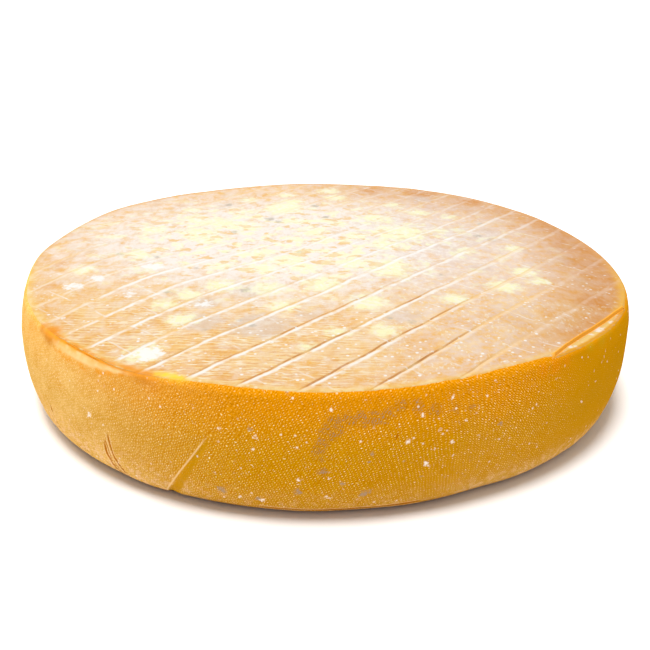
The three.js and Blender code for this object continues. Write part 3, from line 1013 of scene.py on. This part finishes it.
for name, folds, centre in (("thin", THIN_FOLDS, 0.5), ("wide", WIDE_FOLDS, 0.0)):
    distance, present = fold_lines(folds, centre)
    store(name + "_fold", distance)
    store(name + "_present", present)
store("under_rim", crease_of([LEFT_RIM_FOLD], 0.82, 1.2, 0.1))
store("facet", crease_of([LEFT_RIM_FOLD], 0.2, 0.65, 0.1))
store("facet_foot", crease_of([LEFT_RIM_FOLD], -0.3, 0.0, 0.1))
store("fold_floor", crease_of(WIDE_FOLDS, 0.15, 0.85))
print("values kept for every point:", len(mesh.attributes))

# %% [markdown]
# ## Words for building a material
# A material is a net of nodes. A few short functions, each adding a node or two and handing
# back the output, let the net be written as sums, in the order in which the finish is laid
# on. A value is always made before the node that uses it: the renderer works through the
# nodes in the order they were made, and has room for only so many values that still wait.

# %% Short words for nodes
rind = bpy.data.materials.new("washed_rind")
rind.use_nodes = True
tree = rind.node_tree
skin = tree.nodes["Principled BSDF"]


def plug(value, socket):
    """Links an output to a socket, or sets the socket to a plain value."""
    if isinstance(value, bpy.types.NodeSocket):
        tree.links.new(value, socket)
    else:
        socket.default_value = value


def calc(operation, *values, clamp=False):
    """One sum, worked out by a Math node."""
    made = tree.nodes.new("ShaderNodeMath")
    made.operation = operation
    made.use_clamp = clamp
    for value, socket in zip(values, made.inputs):
        plug(value, socket)
    return made.outputs[0]


def times(*values):
    """The product of any number of values."""
    return reduce(lambda product, value: calc("MULTIPLY", product, value), values)


def plus(*values):
    """The sum of any number of values."""
    return reduce(lambda total, value: calc("ADD", total, value), values)


def rest_of(value):
    """What is left of 1."""
    return calc("SUBTRACT", 1.0, value)


def field(name):
    """A value that was kept for every point."""
    made = tree.nodes.new("ShaderNodeAttribute")
    made.attribute_name = name
    return made.outputs["Fac"]


print("words for sums:", [word.__name__ for word in (calc, times, plus, rest_of, field)])

# %% Steps and bands
def rise(value, low, high, top=1.0):
    """A smooth step of a value from 0 at 'low' to 'top' at 'high'."""
    made = tree.nodes.new("ShaderNodeMapRange")
    made.interpolation_type = "SMOOTHSTEP"
    for number, setting in enumerate((value, low, high, 0.0, top)):
        plug(setting, made.inputs[number])
    return made.outputs[0]


def fall(value, low, high, top=1.0):
    """A smooth step of a value from 'top' at 'low' to 0 at 'high'."""
    return calc("SUBTRACT", top, rise(value, low, high, top))


def band(value, low, full, fade, high):
    """1 from 'full' to 'fade', and 0 below 'low' and above 'high'."""
    return times(rise(value, low, full), fall(value, fade, high))


print("words for steps:", [word.__name__ for word in (rise, fall, band)])

# %% Colours and how they are laid on
LIGHT_ON_TOP = 1.67
LIGHT_ON_SIDE = 1.01
LIGHT_AT_RIM = 1.35


def blend(under, over, share, how="MIX"):
    """One colour laid over another, as far as the share says."""
    made = tree.nodes.new("ShaderNodeMix")
    made.data_type = "RGBA"
    made.blend_type = how
    for number, value in ((0, share), (6, under), (7, over)):
        plug(value, made.inputs[number])
    return made.outputs[2]


def paint(red, green, blue, light=LIGHT_ON_TOP):
    """A colour written as it looks in the studio, divided by the light that falls on it."""
    shades = np.array([red, green, blue]) / 255
    linear = np.where(shades <= 0.04045, shades / 12.92, ((shades + 0.055) / 1.055) ** 2.4)
    return (*(linear / light), 1.0)


def side_paint(red, green, blue):
    """The same for the side, which gets less light."""
    return paint(red, green, blue, LIGHT_ON_SIDE)


print("a mid grey of the top, as the shader takes it:", np.round(paint(128, 128, 128), 3))

# %% Noise
# Each use of noise has a number of its own, which moves it to another place.
STEP_OF_MOVES = (0.37, 0.71, 0.19)
EVEN = (1, 1, 1)
where = tree.nodes.new("ShaderNodeTexCoord").outputs["Object"]


def texture(kind, size, seed, stretch=EVEN):
    """A texture node whose pattern is about 'size' mm across, drawn out where 'stretch' is low."""
    moved = tree.nodes.new("ShaderNodeMapping")
    plug(where, moved.inputs["Vector"])
    moved.inputs["Location"].default_value = [seed * step for step in STEP_OF_MOVES]
    moved.inputs["Scale"].default_value = stretch
    made = tree.nodes.new(kind)
    plug(moved.outputs[0], made.inputs["Vector"])
    made.inputs["Scale"].default_value = 1 / (size * MM)
    return made


def mottle(size, seed, detail=2.0, stretch=EVEN):
    """Noise from 0 to 1."""
    made = texture("ShaderNodeTexNoise", size, seed, stretch)
    made.inputs["Detail"].default_value = detail
    return made.outputs[0]


def patchy(size, seed, detail, low, high, stretch=EVEN):
    """Patches of noise: 0 where it is under 'low', 1 where it is over 'high'."""
    return rise(mottle(size, seed, detail, stretch), low, high)


def wander(size, seed, detail, reach):
    """Noise round 0, of which the lowest and highest are 'reach' apart."""
    return times(calc("SUBTRACT", mottle(size, seed, detail), 0.5), reach)


def frayed(value, size, seed, detail, reach):
    """A value with noise added, so that a step of it has a frayed edge."""
    return plus(value, times(mottle(size, seed, detail), reach))


def specks(size, seed, radius):
    """Small round specks, one in each cell 'size' mm across, 0 outside to 1 inside."""
    made = texture("ShaderNodeTexVoronoi", size, seed)
    return fall(made.outputs["Distance"], radius * 0.5, radius)


print("words for noise:", [word.__name__ for word in (mottle, patchy, wander, frayed, specks)])

# %% [markdown]
# ## The weave on the side
# The press cloth leaves a pale dot wherever two threads crossed, in upright lines of dots,
# each line set off by half a dot against the next. Waves added together give just that: one
# for the lines, one for the set-off dots, and a slanting one that draws each dot out. The
# cloth was laid on in lengths, so the dots rise to the right in some places and fall in
# others. It hung askew, so the lines lean, and slow noise pulls them.

# %% Threads of the cloth
LINES_ROUND = 608
DOT_PITCH = 1.12
CLOTH_PULL = 3.8
PULL_SIZE = 16
THREAD_STRAY = 1.7
STRAY_SIZE = 2.4
MIDDLE_LEVEL = 35.0

cloth_map = tree.nodes.new("ShaderNodeUVMap")
cloth_map.uv_map = "cloth"
split = tree.nodes.new("ShaderNodeSeparateXYZ")
plug(cloth_map.outputs[0], split.inputs[0])
round_the_wheel, height = split.outputs[0], split.outputs[1]
leaning = times(field("lean"), calc("SUBTRACT", height, MIDDLE_LEVEL * MM))
pull_round = wander(PULL_SIZE, 1, 5, CLOTH_PULL * MM)
pull_up = wander(PULL_SIZE, 2, 5, CLOTH_PULL * MM)
stray_round = wander(STRAY_SIZE, 54, 1, THREAD_STRAY * MM)
stray_up = wander(STRAY_SIZE, 55, 1, THREAD_STRAY * MM)
line_turn = times(plus(round_the_wheel, leaning, pull_round, stray_round), LINES_ROUND / (MEAN_RADIUS * MM))
dot_turn = times(plus(height, pull_up, stray_up), 2 * math.pi / (DOT_PITCH * MM))
print("lines of dots round the wheel:", LINES_ROUND, "dots up the side:", round(HEIGHT / DOT_PITCH))

# %% Waves of the weave
LINE_WAVE = -0.15
SET_OFF_WAVE = 2.0
RISING_WAVE = 2.0
FALLING_WAVE = 2.4
WAVE_SLANT = 1.5

slant = rise(plus(field("slant"), wander(9, 65, 3, 1.2)), 0.4, 0.6)
lines = times(calc("COSINE", line_turn), LINE_WAVE)
set_off = times(calc("COSINE", dot_turn), calc("COSINE", times(line_turn, 0.5)), SET_OFF_WAVE)
rising_turn = calc("SUBTRACT", dot_turn, times(line_turn, WAVE_SLANT))
rising = times(calc("COSINE", rising_turn), rest_of(slant), RISING_WAVE)
falling_turn = plus(dot_turn, times(line_turn, WAVE_SLANT))
falling = times(calc("COSINE", falling_turn), slant, FALLING_WAVE)
threads = plus(lines, set_off, rising, falling)
weave = rise(threads, 0.3, 2.8)
dots = rise(threads, 1.5, 3.2)
print("in the middle of a rising dot the waves add up to:", LINE_WAVE + SET_OFF_WAVE + RISING_WAVE)

# %% A chance for every dot
TURNS = 0.5 / math.pi

line_number = calc("ROUND", times(line_turn, TURNS))
dot_number = calc("ROUND", calc("SUBTRACT", times(dot_turn, TURNS), times(line_number, 0.5)))
crossing = tree.nodes.new("ShaderNodeCombineXYZ")
plug(line_number, crossing.inputs[0])
plug(dot_number, crossing.inputs[1])
draw = tree.nodes.new("ShaderNodeTexWhiteNoise")
draw.noise_dimensions = "2D"
plug(crossing.outputs[0], draw.inputs["Vector"])
chance = draw.outputs["Value"]
print("nodes so far:", len(tree.nodes))

# %% [markdown]
# ## The colour of the side
# The washed rind is a deep orange under the rim, and turns to a duller gold towards the
# foot. Over it go pale dust, then the dots of the weave, then the creases of the folds, the
# mould, and last the white spots. The paler left is dust and partly painted light, the
# darker right is bare gold and partly painted shade, the dark creases, the crack and the
# foot are painted shade, and the pale lips of the folds are painted highlights. Levels in
# mm are written with MM, as the height is in metres.

# %% Side colours
DEEP_ORANGE = side_paint(219, 139, 0)
GOLD = side_paint(204, 142, 0)
DULL_GOLD = side_paint(196, 138, 0)
GAP = side_paint(190, 116, 0)
DOT = side_paint(252, 212, 122)
DOT_PALE = side_paint(255, 242, 196)
DOT_DUSTY = side_paint(255, 232, 182)
BARE_GOLD_AND_PAINTED_SHADE = side_paint(194, 135, 0)
DUST = side_paint(238, 192, 112)
PINK_DUST = side_paint(234, 190, 138)
GREY_MOULD = side_paint(164, 146, 130)
GREY_DOT = side_paint(160, 136, 112)
GREY_GROUND = side_paint(176, 112, 14)
WHITE_YEAST = side_paint(255, 238, 220)
BURNT = paint(226, 140, 40, LIGHT_AT_RIM)
SHOULDER_AND_HIGHLIGHT = paint(255, 210, 64, LIGHT_AT_RIM)
CREASE_PAINTED_SHADE = side_paint(176, 98, 0)
FOLD_GOLD = side_paint(202, 142, 6)
LIP_PAINTED_HIGHLIGHT = side_paint(244, 204, 146)
FACET = paint(246, 210, 146, 1.15)
RIM_LINE_PAINTED_LIGHT = paint(238, 152, 44, 0.9)
RED_GOLD = side_paint(226, 132, 0)
GREEN_GOLD = side_paint(190, 150, 24)
RIM_BRIGHT = side_paint(222, 142, 4)
RIM_LIP = side_paint(230, 140, 10)
FOOT_PAINTED_SHADE = side_paint(150, 84, 0)
print("deep orange, as the shader takes it:", np.round(DEEP_ORANGE, 3))

# %% The ground of the side
level_noise = wander(20, 3, 3, 18 * MM)
side = blend(DULL_GOLD, GOLD, rise(plus(height, level_noise), 8 * MM, 30 * MM))
side = blend(side, DEEP_ORANGE, rise(plus(height, level_noise), 34 * MM, 60 * MM))
dust = field("dust")
bare = field("bare")
# The right of the side is bare of dust and a darker gold: partly painted shade, where the light is weaker.
side = blend(side, BARE_GOLD_AND_PAINTED_SHADE, times(bare, 0.8))
side = blend(side, RIM_BRIGHT, times(fall(field("under_edge"), 0.5, 3.0), 0.7))
side = blend(side, RED_GOLD, rise(frayed(field("red_patch"), 5, 60, 3, 6), 2.0, 8.0, 0.6))
side = blend(side, GREEN_GOLD, rise(frayed(field("green_patch"), 5, 61, 3, 4), 1.0, 7.0, 0.6))
slow_dust = times(patchy(12, 5, 4, 0.3, 0.7), 0.3)
fine_dust = times(patchy(1.8, 50, 2, 0.36, 0.64), 0.3)
# Pale dust; on the left it also stands for painted light.
side = blend(side, DUST, times(dust, plus(0.05, times(dust, 0.3), slow_dust, fine_dust)))
net = times(dust, patchy(2.6, 6, 3, 0.5, 0.6), fall(height, 8 * MM, 30 * MM))
side = blend(side, PINK_DUST, times(net, 0.9))
gaps = times(fall(threads, -2.2, 0.8), patchy(1.6, 46, 2, 0.34, 0.56), fall(bare, 0.0, 1.4))
side = blend(side, GAP, times(gaps, fall(dust, 0.0, 1.3), 0.85))
print("nodes so far:", len(tree.nodes))

# %% The dots, and the arc of mould that colours them
arc = rise(frayed(field("mould_arc"), 5, 7, 3, 7), 2.8, 5.8)
mouldy = times(arc, rise(frayed(chance, 2.4, 47, 2, 1.2), 0.95, 1.15))
side = blend(side, GREY_GROUND, times(arc, 0.35))
dot_colour = blend(blend(DOT, DOT_PALE, rise(chance, 0.76, 1.0)), DOT_DUSTY, dust)
uneven_dots = plus(0.66, times(rise(chance, 0.1, 1.0), 0.34))
under_rim_dots = plus(0.45, fall(height, 48 * MM, 64 * MM, 0.55))
dot_strength = times(patchy(3.2, 8, 3, 0.24, 0.5), uneven_dots, under_rim_dots)
dot_strength = times(dot_strength, rest_of(field("facet")), rest_of(mouldy))
dot_strength = times(dot_strength, rest_of(times(bare, 0.85)), rest_of(times(dust, 0.3)))
side = blend(side, dot_colour, times(dots, calc("MULTIPLY", dot_strength, 1.0, clamp=True)))
side = blend(side, GREY_DOT, times(mouldy, rise(threads, 0.2, 1.9), 0.85))
print("nodes so far:", len(tree.nodes))

# %% Folds, mould and yeast on the side
side = blend(side, FACET, times(field("facet"), 0.9))
side = blend(side, RIM_LIP, times(field("facet_foot"), patchy(4, 56, 3, 0.4, 0.6), 0.6))
side = blend(side, RIM_LIP, times(field("under_rim"), 0.8))
side = blend(side, FOLD_GOLD, times(field("fold_floor"), 0.85))
thin = calc("ABSOLUTE", field("thin_fold"))
thin_present = field("thin_present")
wide = field("wide_fold")
# Painted shade: the creases of the thin folds are darkened brown.
side = blend(side, CREASE_PAINTED_SHADE, times(fall(thin, 0.3, 0.9), thin_present, 0.9))
# Painted highlight: the lips beside the thin folds are painted pale.
side = blend(side, LIP_PAINTED_HIGHLIGHT, times(band(thin, 0.8, 1.1, 1.2, 1.7), thin_present, 0.6))
# Painted highlight: the lip along each wide fold is painted pale.
fold_lip_highlight = times(band(wide, -1.0, -0.5, -0.2, 0.2), field("wide_present"))
side = blend(side, LIP_PAINTED_HIGHLIGHT, times(fold_lip_highlight, 0.75))
# Painted shade: the crack is a dark brown line, not cut into the form.
side = blend(side, CREASE_PAINTED_SHADE, rise(field("crack"), 1.2, 1.7, 0.8))
# Painted shade: the lowest 3 mm of the side, where it turns under to the floor, is darkened brown.
side = blend(side, FOOT_PAINTED_SHADE, times(fall(height, 0.6 * MM, 3.2 * MM), 0.8))
mould_share = rise(frayed(field("mould_spot"), 1.8, 9, 3, 5), 2.2, 3.8, 0.9)
side = blend(side, GREY_MOULD, times(mould_share, plus(0.6, times(rise(threads, -1.0, 1.4), 0.4))))
white_share = rise(frayed(field("white_spot"), 1.4, 11, 3, 4), 2.2, 3.4, 0.95)
stray = times(specks(5.5, 12, 0.13), patchy(14, 13, 2, 0.42, 0.6), 0.7)
side = blend(side, WHITE_YEAST, calc("MAXIMUM", white_share, stray))
print("nodes so far:", len(tree.nodes))

# %% [markdown]
# ## The colour of the top
# The rind is tan to peach and finely striped by the grain of the wooden lid. Grey and orange
# patches lie in it, then comes the bloom in patches of several sizes, with mauve granules to
# the right. The edge beyond them is duller and darker, as painted shade where the light falls
# off to the right and behind. Then come small grey specks and pale yellow mould. The lips of
# the marks are rubbed white. The smooth walls of the marks are painted lighter, as painted
# light against the shade of the step, and at the front right brown, as painted shade.

# %% Top colours
TAN = paint(244, 184, 92)
PEACH = paint(250, 206, 136)
PINK_TAN = paint(248, 212, 180)
EDGE_TAN = paint(240, 176, 84)
STRIPE_DARK = paint(226, 154, 62)
STRIPE_PALE = paint(255, 230, 168)
DASH = paint(255, 244, 214)
GREY = paint(228, 204, 182)
ORANGE = paint(234, 164, 72)
STAIN = paint(250, 206, 134)
BLOOM = paint(255, 248, 240)
PALE_MAUVE = paint(236, 214, 202)
FAR_PAINTED_SHADE = (0.80, 0.66, 0.58, 1.0)
SPECK_GREY = paint(206, 194, 178)
YELLOW = paint(255, 255, 206)
WHITE = paint(255, 254, 250)
WALL_PAINTED_LIGHT = paint(252, 208, 140)
MARK_PAINTED_SHADE = paint(214, 134, 66)
BACK_TAN = paint(234, 172, 106)
RIM_GOLD = paint(250, 196, 84)
RIM_CREAM = paint(255, 228, 160)
RIM_ORANGE = paint(232, 158, 26)
LEDGE_CREAM = paint(247, 212, 136)
LEDGE_WALL_PAINTED_LIGHT = paint(244, 166, 50, 1.1)
print("the edge to the right and behind is multiplied by:", FAR_PAINTED_SHADE[:3])

# %% The ground and grain of the top
# On the faces, the cloth map's 'height' runs from front to back, so the stripes lie across.
STRIPE_PITCH = 2.8
LONG_IN_X, LONG_IN_Y = (0.4, 1, 1), (1, 0.5, 1)

marks, near_mark = field("beside_mark"), field("near_mark")
sharp, bloom = field("sharp"), field("bloom")
# The smooth wall and slope of each mark, bare of grain; below, it is also given painted light.
bare_wall_and_painted_light = times(band(marks, -2.6, -1.8, 0.6, 1.0), near_mark)
smooth_part = calc("MAXIMUM", field("ledge"), field("ledge_wall"))
grained = times(rest_of(bare_wall_and_painted_light), rest_of(smooth_part))

top = blend(TAN, PEACH, patchy(16, 21, 4, 0.36, 0.62))
top = blend(top, PINK_TAN, times(fall(sharp, 0.15, 0.8), patchy(7, 53, 4, 0.36, 0.6), 0.75))
granular = patchy(2.6, 57, 3, 0.36, 0.62, LONG_IN_Y)
greyed = plus(times(bloom, 0.5), 0.25)
top = blend(top, GREY, times(patchy(10, 44, 4, 0.46, 0.64), greyed, plus(0.5, times(granular, 0.5))))
wavering = plus(times(mottle(12, 22, 4, LONG_IN_X), 7 * MM), times(mottle(4, 52, 2, (0.5, 1, 1)), 4 * MM))
grain = calc("SINE", times(plus(height, wavering), 2 * math.pi / (STRIPE_PITCH * MM)))
broken = times(patchy(2.8, 23, 3, 0.4, 0.6, LONG_IN_X), grained)
striped = plus(times(field("striped"), sharp, 0.9), 0.1)
near_edge = fall(frayed(field("edge"), 8, 48, 3, 16), 12, 34)
top = blend(top, EDGE_TAN, times(near_edge, calc("MAXIMUM", sharp, field("right_rim")), 0.65))
top = blend(top, STRIPE_DARK, times(rise(grain, 0.1, 0.9), broken, striped, 0.6))
top = blend(top, STRIPE_PALE, times(fall(grain, -0.9, -0.1), broken, striped, 0.75))
print("nodes so far:", len(tree.nodes))

# %% Dashes, patches and stains of the top
dashes = times(patchy(1.6, 36, 2, 0.54, 0.66, (0.3, 1, 1)), plus(0.2, times(sharp, 0.8)))
dashes = times(dashes, plus(0.15, times(field("striped"), 0.85)))
grains = times(patchy(1.6, 62, 2, 0.54, 0.68, LONG_IN_Y), rest_of(field("striped")), sharp)
top = blend(top, DASH, times(calc("MAXIMUM", dashes, grains), patchy(18, 37, 2, 0.36, 0.56), 0.75))
top = blend(top, ORANGE, rise(frayed(field("orange_patch"), 6, 24, 3, 8), 1.5, 8, 0.6))
top = blend(top, GREY, rise(frayed(field("grey_patch"), 5, 25, 4, 18), 6, 15, 0.75))
stained = times(patchy(6, 43, 3, 0.55, 0.63, (0.7, 1, 1)), bloom)
top = blend(top, STAIN, times(stained, 0.8))
print("nodes so far:", len(tree.nodes))

# %% Bloom, specks and yellow mould
cover = rise(plus(mottle(9, 26, 4), times(bloom, 0.2)), 0.42, 0.7)
fine_cover = rise(plus(mottle(2.4, 27, 2, LONG_IN_Y), times(bloom, 0.12)), 0.34, 0.72)
veil = times(plus(times(cover, 0.6), times(fine_cover, 0.42)), plus(times(bloom, 0.6), 0.4))
veil = times(veil, rest_of(times(stained, 0.85)), rest_of(smooth_part))
top = blend(top, BLOOM, calc("MINIMUM", veil, 0.95))
granules = times(patchy(3, 66, 4, 0.38, 0.62), fall(field("far_painted_shade"), 0.1, 0.8, 0.7))
top = blend(top, PALE_MAUVE, times(plus(granules, 0.1), plus(0.14, times(field("right_side"), 0.6))))
uneven_shade = plus(0.7, times(mottle(14, 64, 4), 0.6))
# Painted shade: the edge to the right and behind is darkened and dulled, unevenly.
top = blend(top, FAR_PAINTED_SHADE, calc("MULTIPLY", field("far_painted_shade"), uneven_shade, clamp=True), "MULTIPLY")
speck_share = rise(frayed(field("grey_speck"), 2.4, 63, 3, 5), 2.0, 4.6, 0.85)
top = blend(top, SPECK_GREY, speck_share)
placed = rise(frayed(field("yellow_patch"), 4, 28, 4, 18), 6.0, 14, 0.85)
thrown = times(rise(plus(mottle(9, 45, 4), times(bloom, 0.1)), 0.6, 0.7), bloom)
yellow_colour = blend(YELLOW, WHITE, rise(mottle(3, 38, 3), 0.42, 0.72, 0.7))
yellow_share = times(calc("MAXIMUM", placed, times(thrown, 0.8)), rest_of(times(stained, 0.6)))
top = blend(top, yellow_colour, yellow_share)
print("nodes so far:", len(tree.nodes))

# %% Marks of the slats
CROSS_PITCH = 17.0

wall_light_share = times(rest_of(times(bloom, 0.9)), fall(field("far_painted_shade"), 0.0, 0.5))
# Painted light: the smooth walls of the marks are painted lighter against the shade of the step, except
# under bloom and in the painted shade of the far edge.
top = blend(top, WALL_PAINTED_LIGHT, times(bare_wall_and_painted_light, wall_light_share, 0.7))
# Painted shade: at the front right the walls of the marks are darkened brown, where the step is in shade.
wall_painted_shade = times(band(marks, -0.1, 0.2, 0.5, 0.8), near_mark, patchy(14, 30, 3, 0.34, 0.52))
top = blend(top, MARK_PAINTED_SHADE, times(wall_painted_shade, field("front_right"), 0.7))
cross = calc("SINE", times(frayed(field("along_marks"), 30, 39, 2.0, 9), 2 * math.pi / CROSS_PITCH))
cross = times(rise(cross, 0.965, 0.998), patchy(10, 40, 3, 0.5, 0.64))
top = blend(top, WHITE, times(cross, 0.4))
jittered = plus(marks, wander(6, 29, 3, 2.4))
lip = times(band(jittered, -3.8, -2.2, -1.0, 0.4), near_mark)
lip = times(lip, patchy(9, 31, 4, 0.3, 0.56), field("mark_white"))
top = blend(top, WHITE, times(lip, 0.88))
print("nodes so far:", len(tree.nodes))

# %% White flecks, rim and ledge
top_white = rise(frayed(field("white_patch"), 3, 32, 4, 14), 6.5, 9.5, 0.9)
flecks = times(specks(4.2, 33, 0.24), patchy(10, 34, 2, 0.42, 0.58), plus(0.3, times(sharp, 0.6)))
top = blend(top, WHITE, calc("MAXIMUM", top_white, flecks))
rim_share = fall(frayed(field("edge"), 5, 35, 2, 4), 2.0, 8.0)
rim_colour = blend(RIM_GOLD, RIM_CREAM, times(patchy(7, 49, 3, 0.4, 0.6), rest_of(bare)))
rim_colour = blend(BACK_TAN, rim_colour, rise(sharp, 0.0, 0.4))
top = blend(top, rim_colour, times(rim_share, 0.7))
top = blend(top, LEDGE_CREAM, times(field("ledge"), 0.85))
top = blend(top, BLOOM, times(field("ledge"), patchy(4, 58, 4, 0.5, 0.62), 0.8))
ledge_edge = fall(frayed(field("edge"), 5, 59, 3, 2), 1.2, 2.8)
top = blend(top, RIM_ORANGE, times(field("ledge"), ledge_edge, 0.85))
# The ledge's wall is orange, painted lighter as painted light against the shade it stands in.
top = blend(top, LEDGE_WALL_PAINTED_LIGHT, times(field("ledge_wall"), 0.9))
print("nodes so far:", len(tree.nodes))

# %% [markdown]
# ## One skin
# The two colourings meet along a frayed line at the rim, and the burnt patches and the
# yellow shoulder lie across it; the shoulder carries a painted highlight where it turns over.
# Under the left rim, an orange line is painted lighter, as painted light against the shade of
# the overhang. The rind is matt and has no shine. The weave stands up less than a tenth of a
# millimetre, so it is left to the shader's relief.

# %% The finished colour
on_top_share = field("on_top")
meeting = rise(plus(on_top_share, wander(2, 41, 2.0, 0.5)), 0.3, 0.7)
finish = blend(side, top, meeting)
burnt_share = times(rise(frayed(field("burnt_patch"), 5, 4, 4, 7), 1.5, 9.0), 0.85)
finish = blend(finish, BURNT, burnt_share)
# Under the left rim the side's orange line is painted lighter, as painted light against the shade of the
# overhang; on the top the line is burnt colour.
rim_line = blend(RIM_LINE_PAINTED_LIGHT, BURNT, on_top_share)
finish = blend(finish, rim_line, times(field("left_rim"), patchy(5, 51, 3, 0.3, 0.6), 0.75))
# Painted highlight, with the side's yellow, on the shoulder of the left rim.
finish = blend(finish, SHOULDER_AND_HIGHLIGHT, rise(frayed(field("shoulder_and_highlight_share"), 3, 10, 3, 4), 1.0, 5.0, 0.85))
plug(finish, skin.inputs["Base Color"])
print("nodes so far:", len(tree.nodes))

# %% Relief, and the rind put on the wheel
ROUGHNESS = 0.68
WEAVE_HEIGHT = 0.06

inside_edge = rise(field("edge"), 1.0, 4.0)
plain_side = times(rest_of(field("facet")), rest_of(times(bare, 0.8)))
side_relief = times(calc("SUBTRACT", weave, 0.3), plain_side, rise(field("under_edge"), 0.6, 3.0))
pitted = times(calc("SUBTRACT", mottle(1.8, 42, 3), 0.5), plus(0.6, times(sharp, 4)))
top_relief = times(plus(times(grain, broken, sharp, 0.7), pitted), grained, inside_edge)
relief_height = plus(times(side_relief, rest_of(on_top_share)), times(top_relief, on_top_share))
relief = tree.nodes.new("ShaderNodeBump")
relief.inputs["Strength"].default_value = 1.0
relief.inputs["Distance"].default_value = WEAVE_HEIGHT * MM
plug(relief_height, relief.inputs["Height"])
plug(relief.outputs[0], skin.inputs["Normal"])
skin.inputs["Roughness"].default_value = ROUGHNESS
skin.inputs["Specular IOR Level"].default_value = 0.0
mesh.materials.append(rind)
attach(wheel, "root")
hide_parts("cheese_wheel")
print("nodes in the rind:", len(tree.nodes))

# %% [markdown]
# ## Floor and light
# A white floor, a white sky, a broad soft light overhead and another behind to the left,
# which picks out the lips of the slat marks.

# %% Floor and sky
FLOOR_SIZE = 14.0
FLOOR_WHITE = 0.92
FLOOR_ROUGHNESS = 0.9
SKY_STRENGTH = 0.46

bpy.ops.mesh.primitive_plane_add(size=FLOOR_SIZE)
floor = bpy.context.object
floor.name = "floor"
floor_white = bpy.data.materials.new("floor_white")
floor_white.use_nodes = True
floor_skin = floor_white.node_tree.nodes["Principled BSDF"]
floor_skin.inputs["Base Color"].default_value = (FLOOR_WHITE, FLOOR_WHITE, FLOOR_WHITE, 1)
floor_skin.inputs["Roughness"].default_value = FLOOR_ROUGHNESS
floor_skin.inputs["Specular IOR Level"].default_value = 0.0
floor.data.materials.append(floor_white)

sky = bpy.data.worlds.new("studio")
sky.use_nodes = True
sky.node_tree.nodes["Background"].inputs["Color"].default_value = (1, 1, 1, 1)
sky.node_tree.nodes["Background"].inputs["Strength"].default_value = SKY_STRENGTH
bpy.context.scene.world = sky
print("floor, m:", FLOOR_SIZE, "sky:", SKY_STRENGTH)

# %% Soft lights
def soft_light(name, azimuth, elevation, distance, size, share):
    """A round lamp aimed at the wheel, lighting it with a share of what a white sky gives."""
    data = bpy.data.lights.new(name, "AREA")
    data.shape = "DISK"
    data.size = size
    data.energy = share * math.pi**2 * distance**2
    lamp = bpy.data.objects.new(name, data)
    turn, lift = math.radians(azimuth), math.radians(elevation)
    lamp.location = (
        distance * math.cos(turn) * math.cos(lift),
        distance * math.sin(turn) * math.cos(lift),
        distance * math.sin(lift),
    )
    lamp.rotation_euler = (-lamp.location).to_track_quat("-Z", "Y").to_euler()
    bpy.context.scene.collection.objects.link(lamp)
    print("light:", name, round(data.energy), "W")


soft_light("overhead", azimuth=-130, elevation=83.5, distance=6.0, size=2.2, share=1.06)
soft_light("back_left", azimuth=140, elevation=40, distance=4.0, size=2.0, share=0.345)
bpy.context.scene.view_settings.view_transform = "Standard"
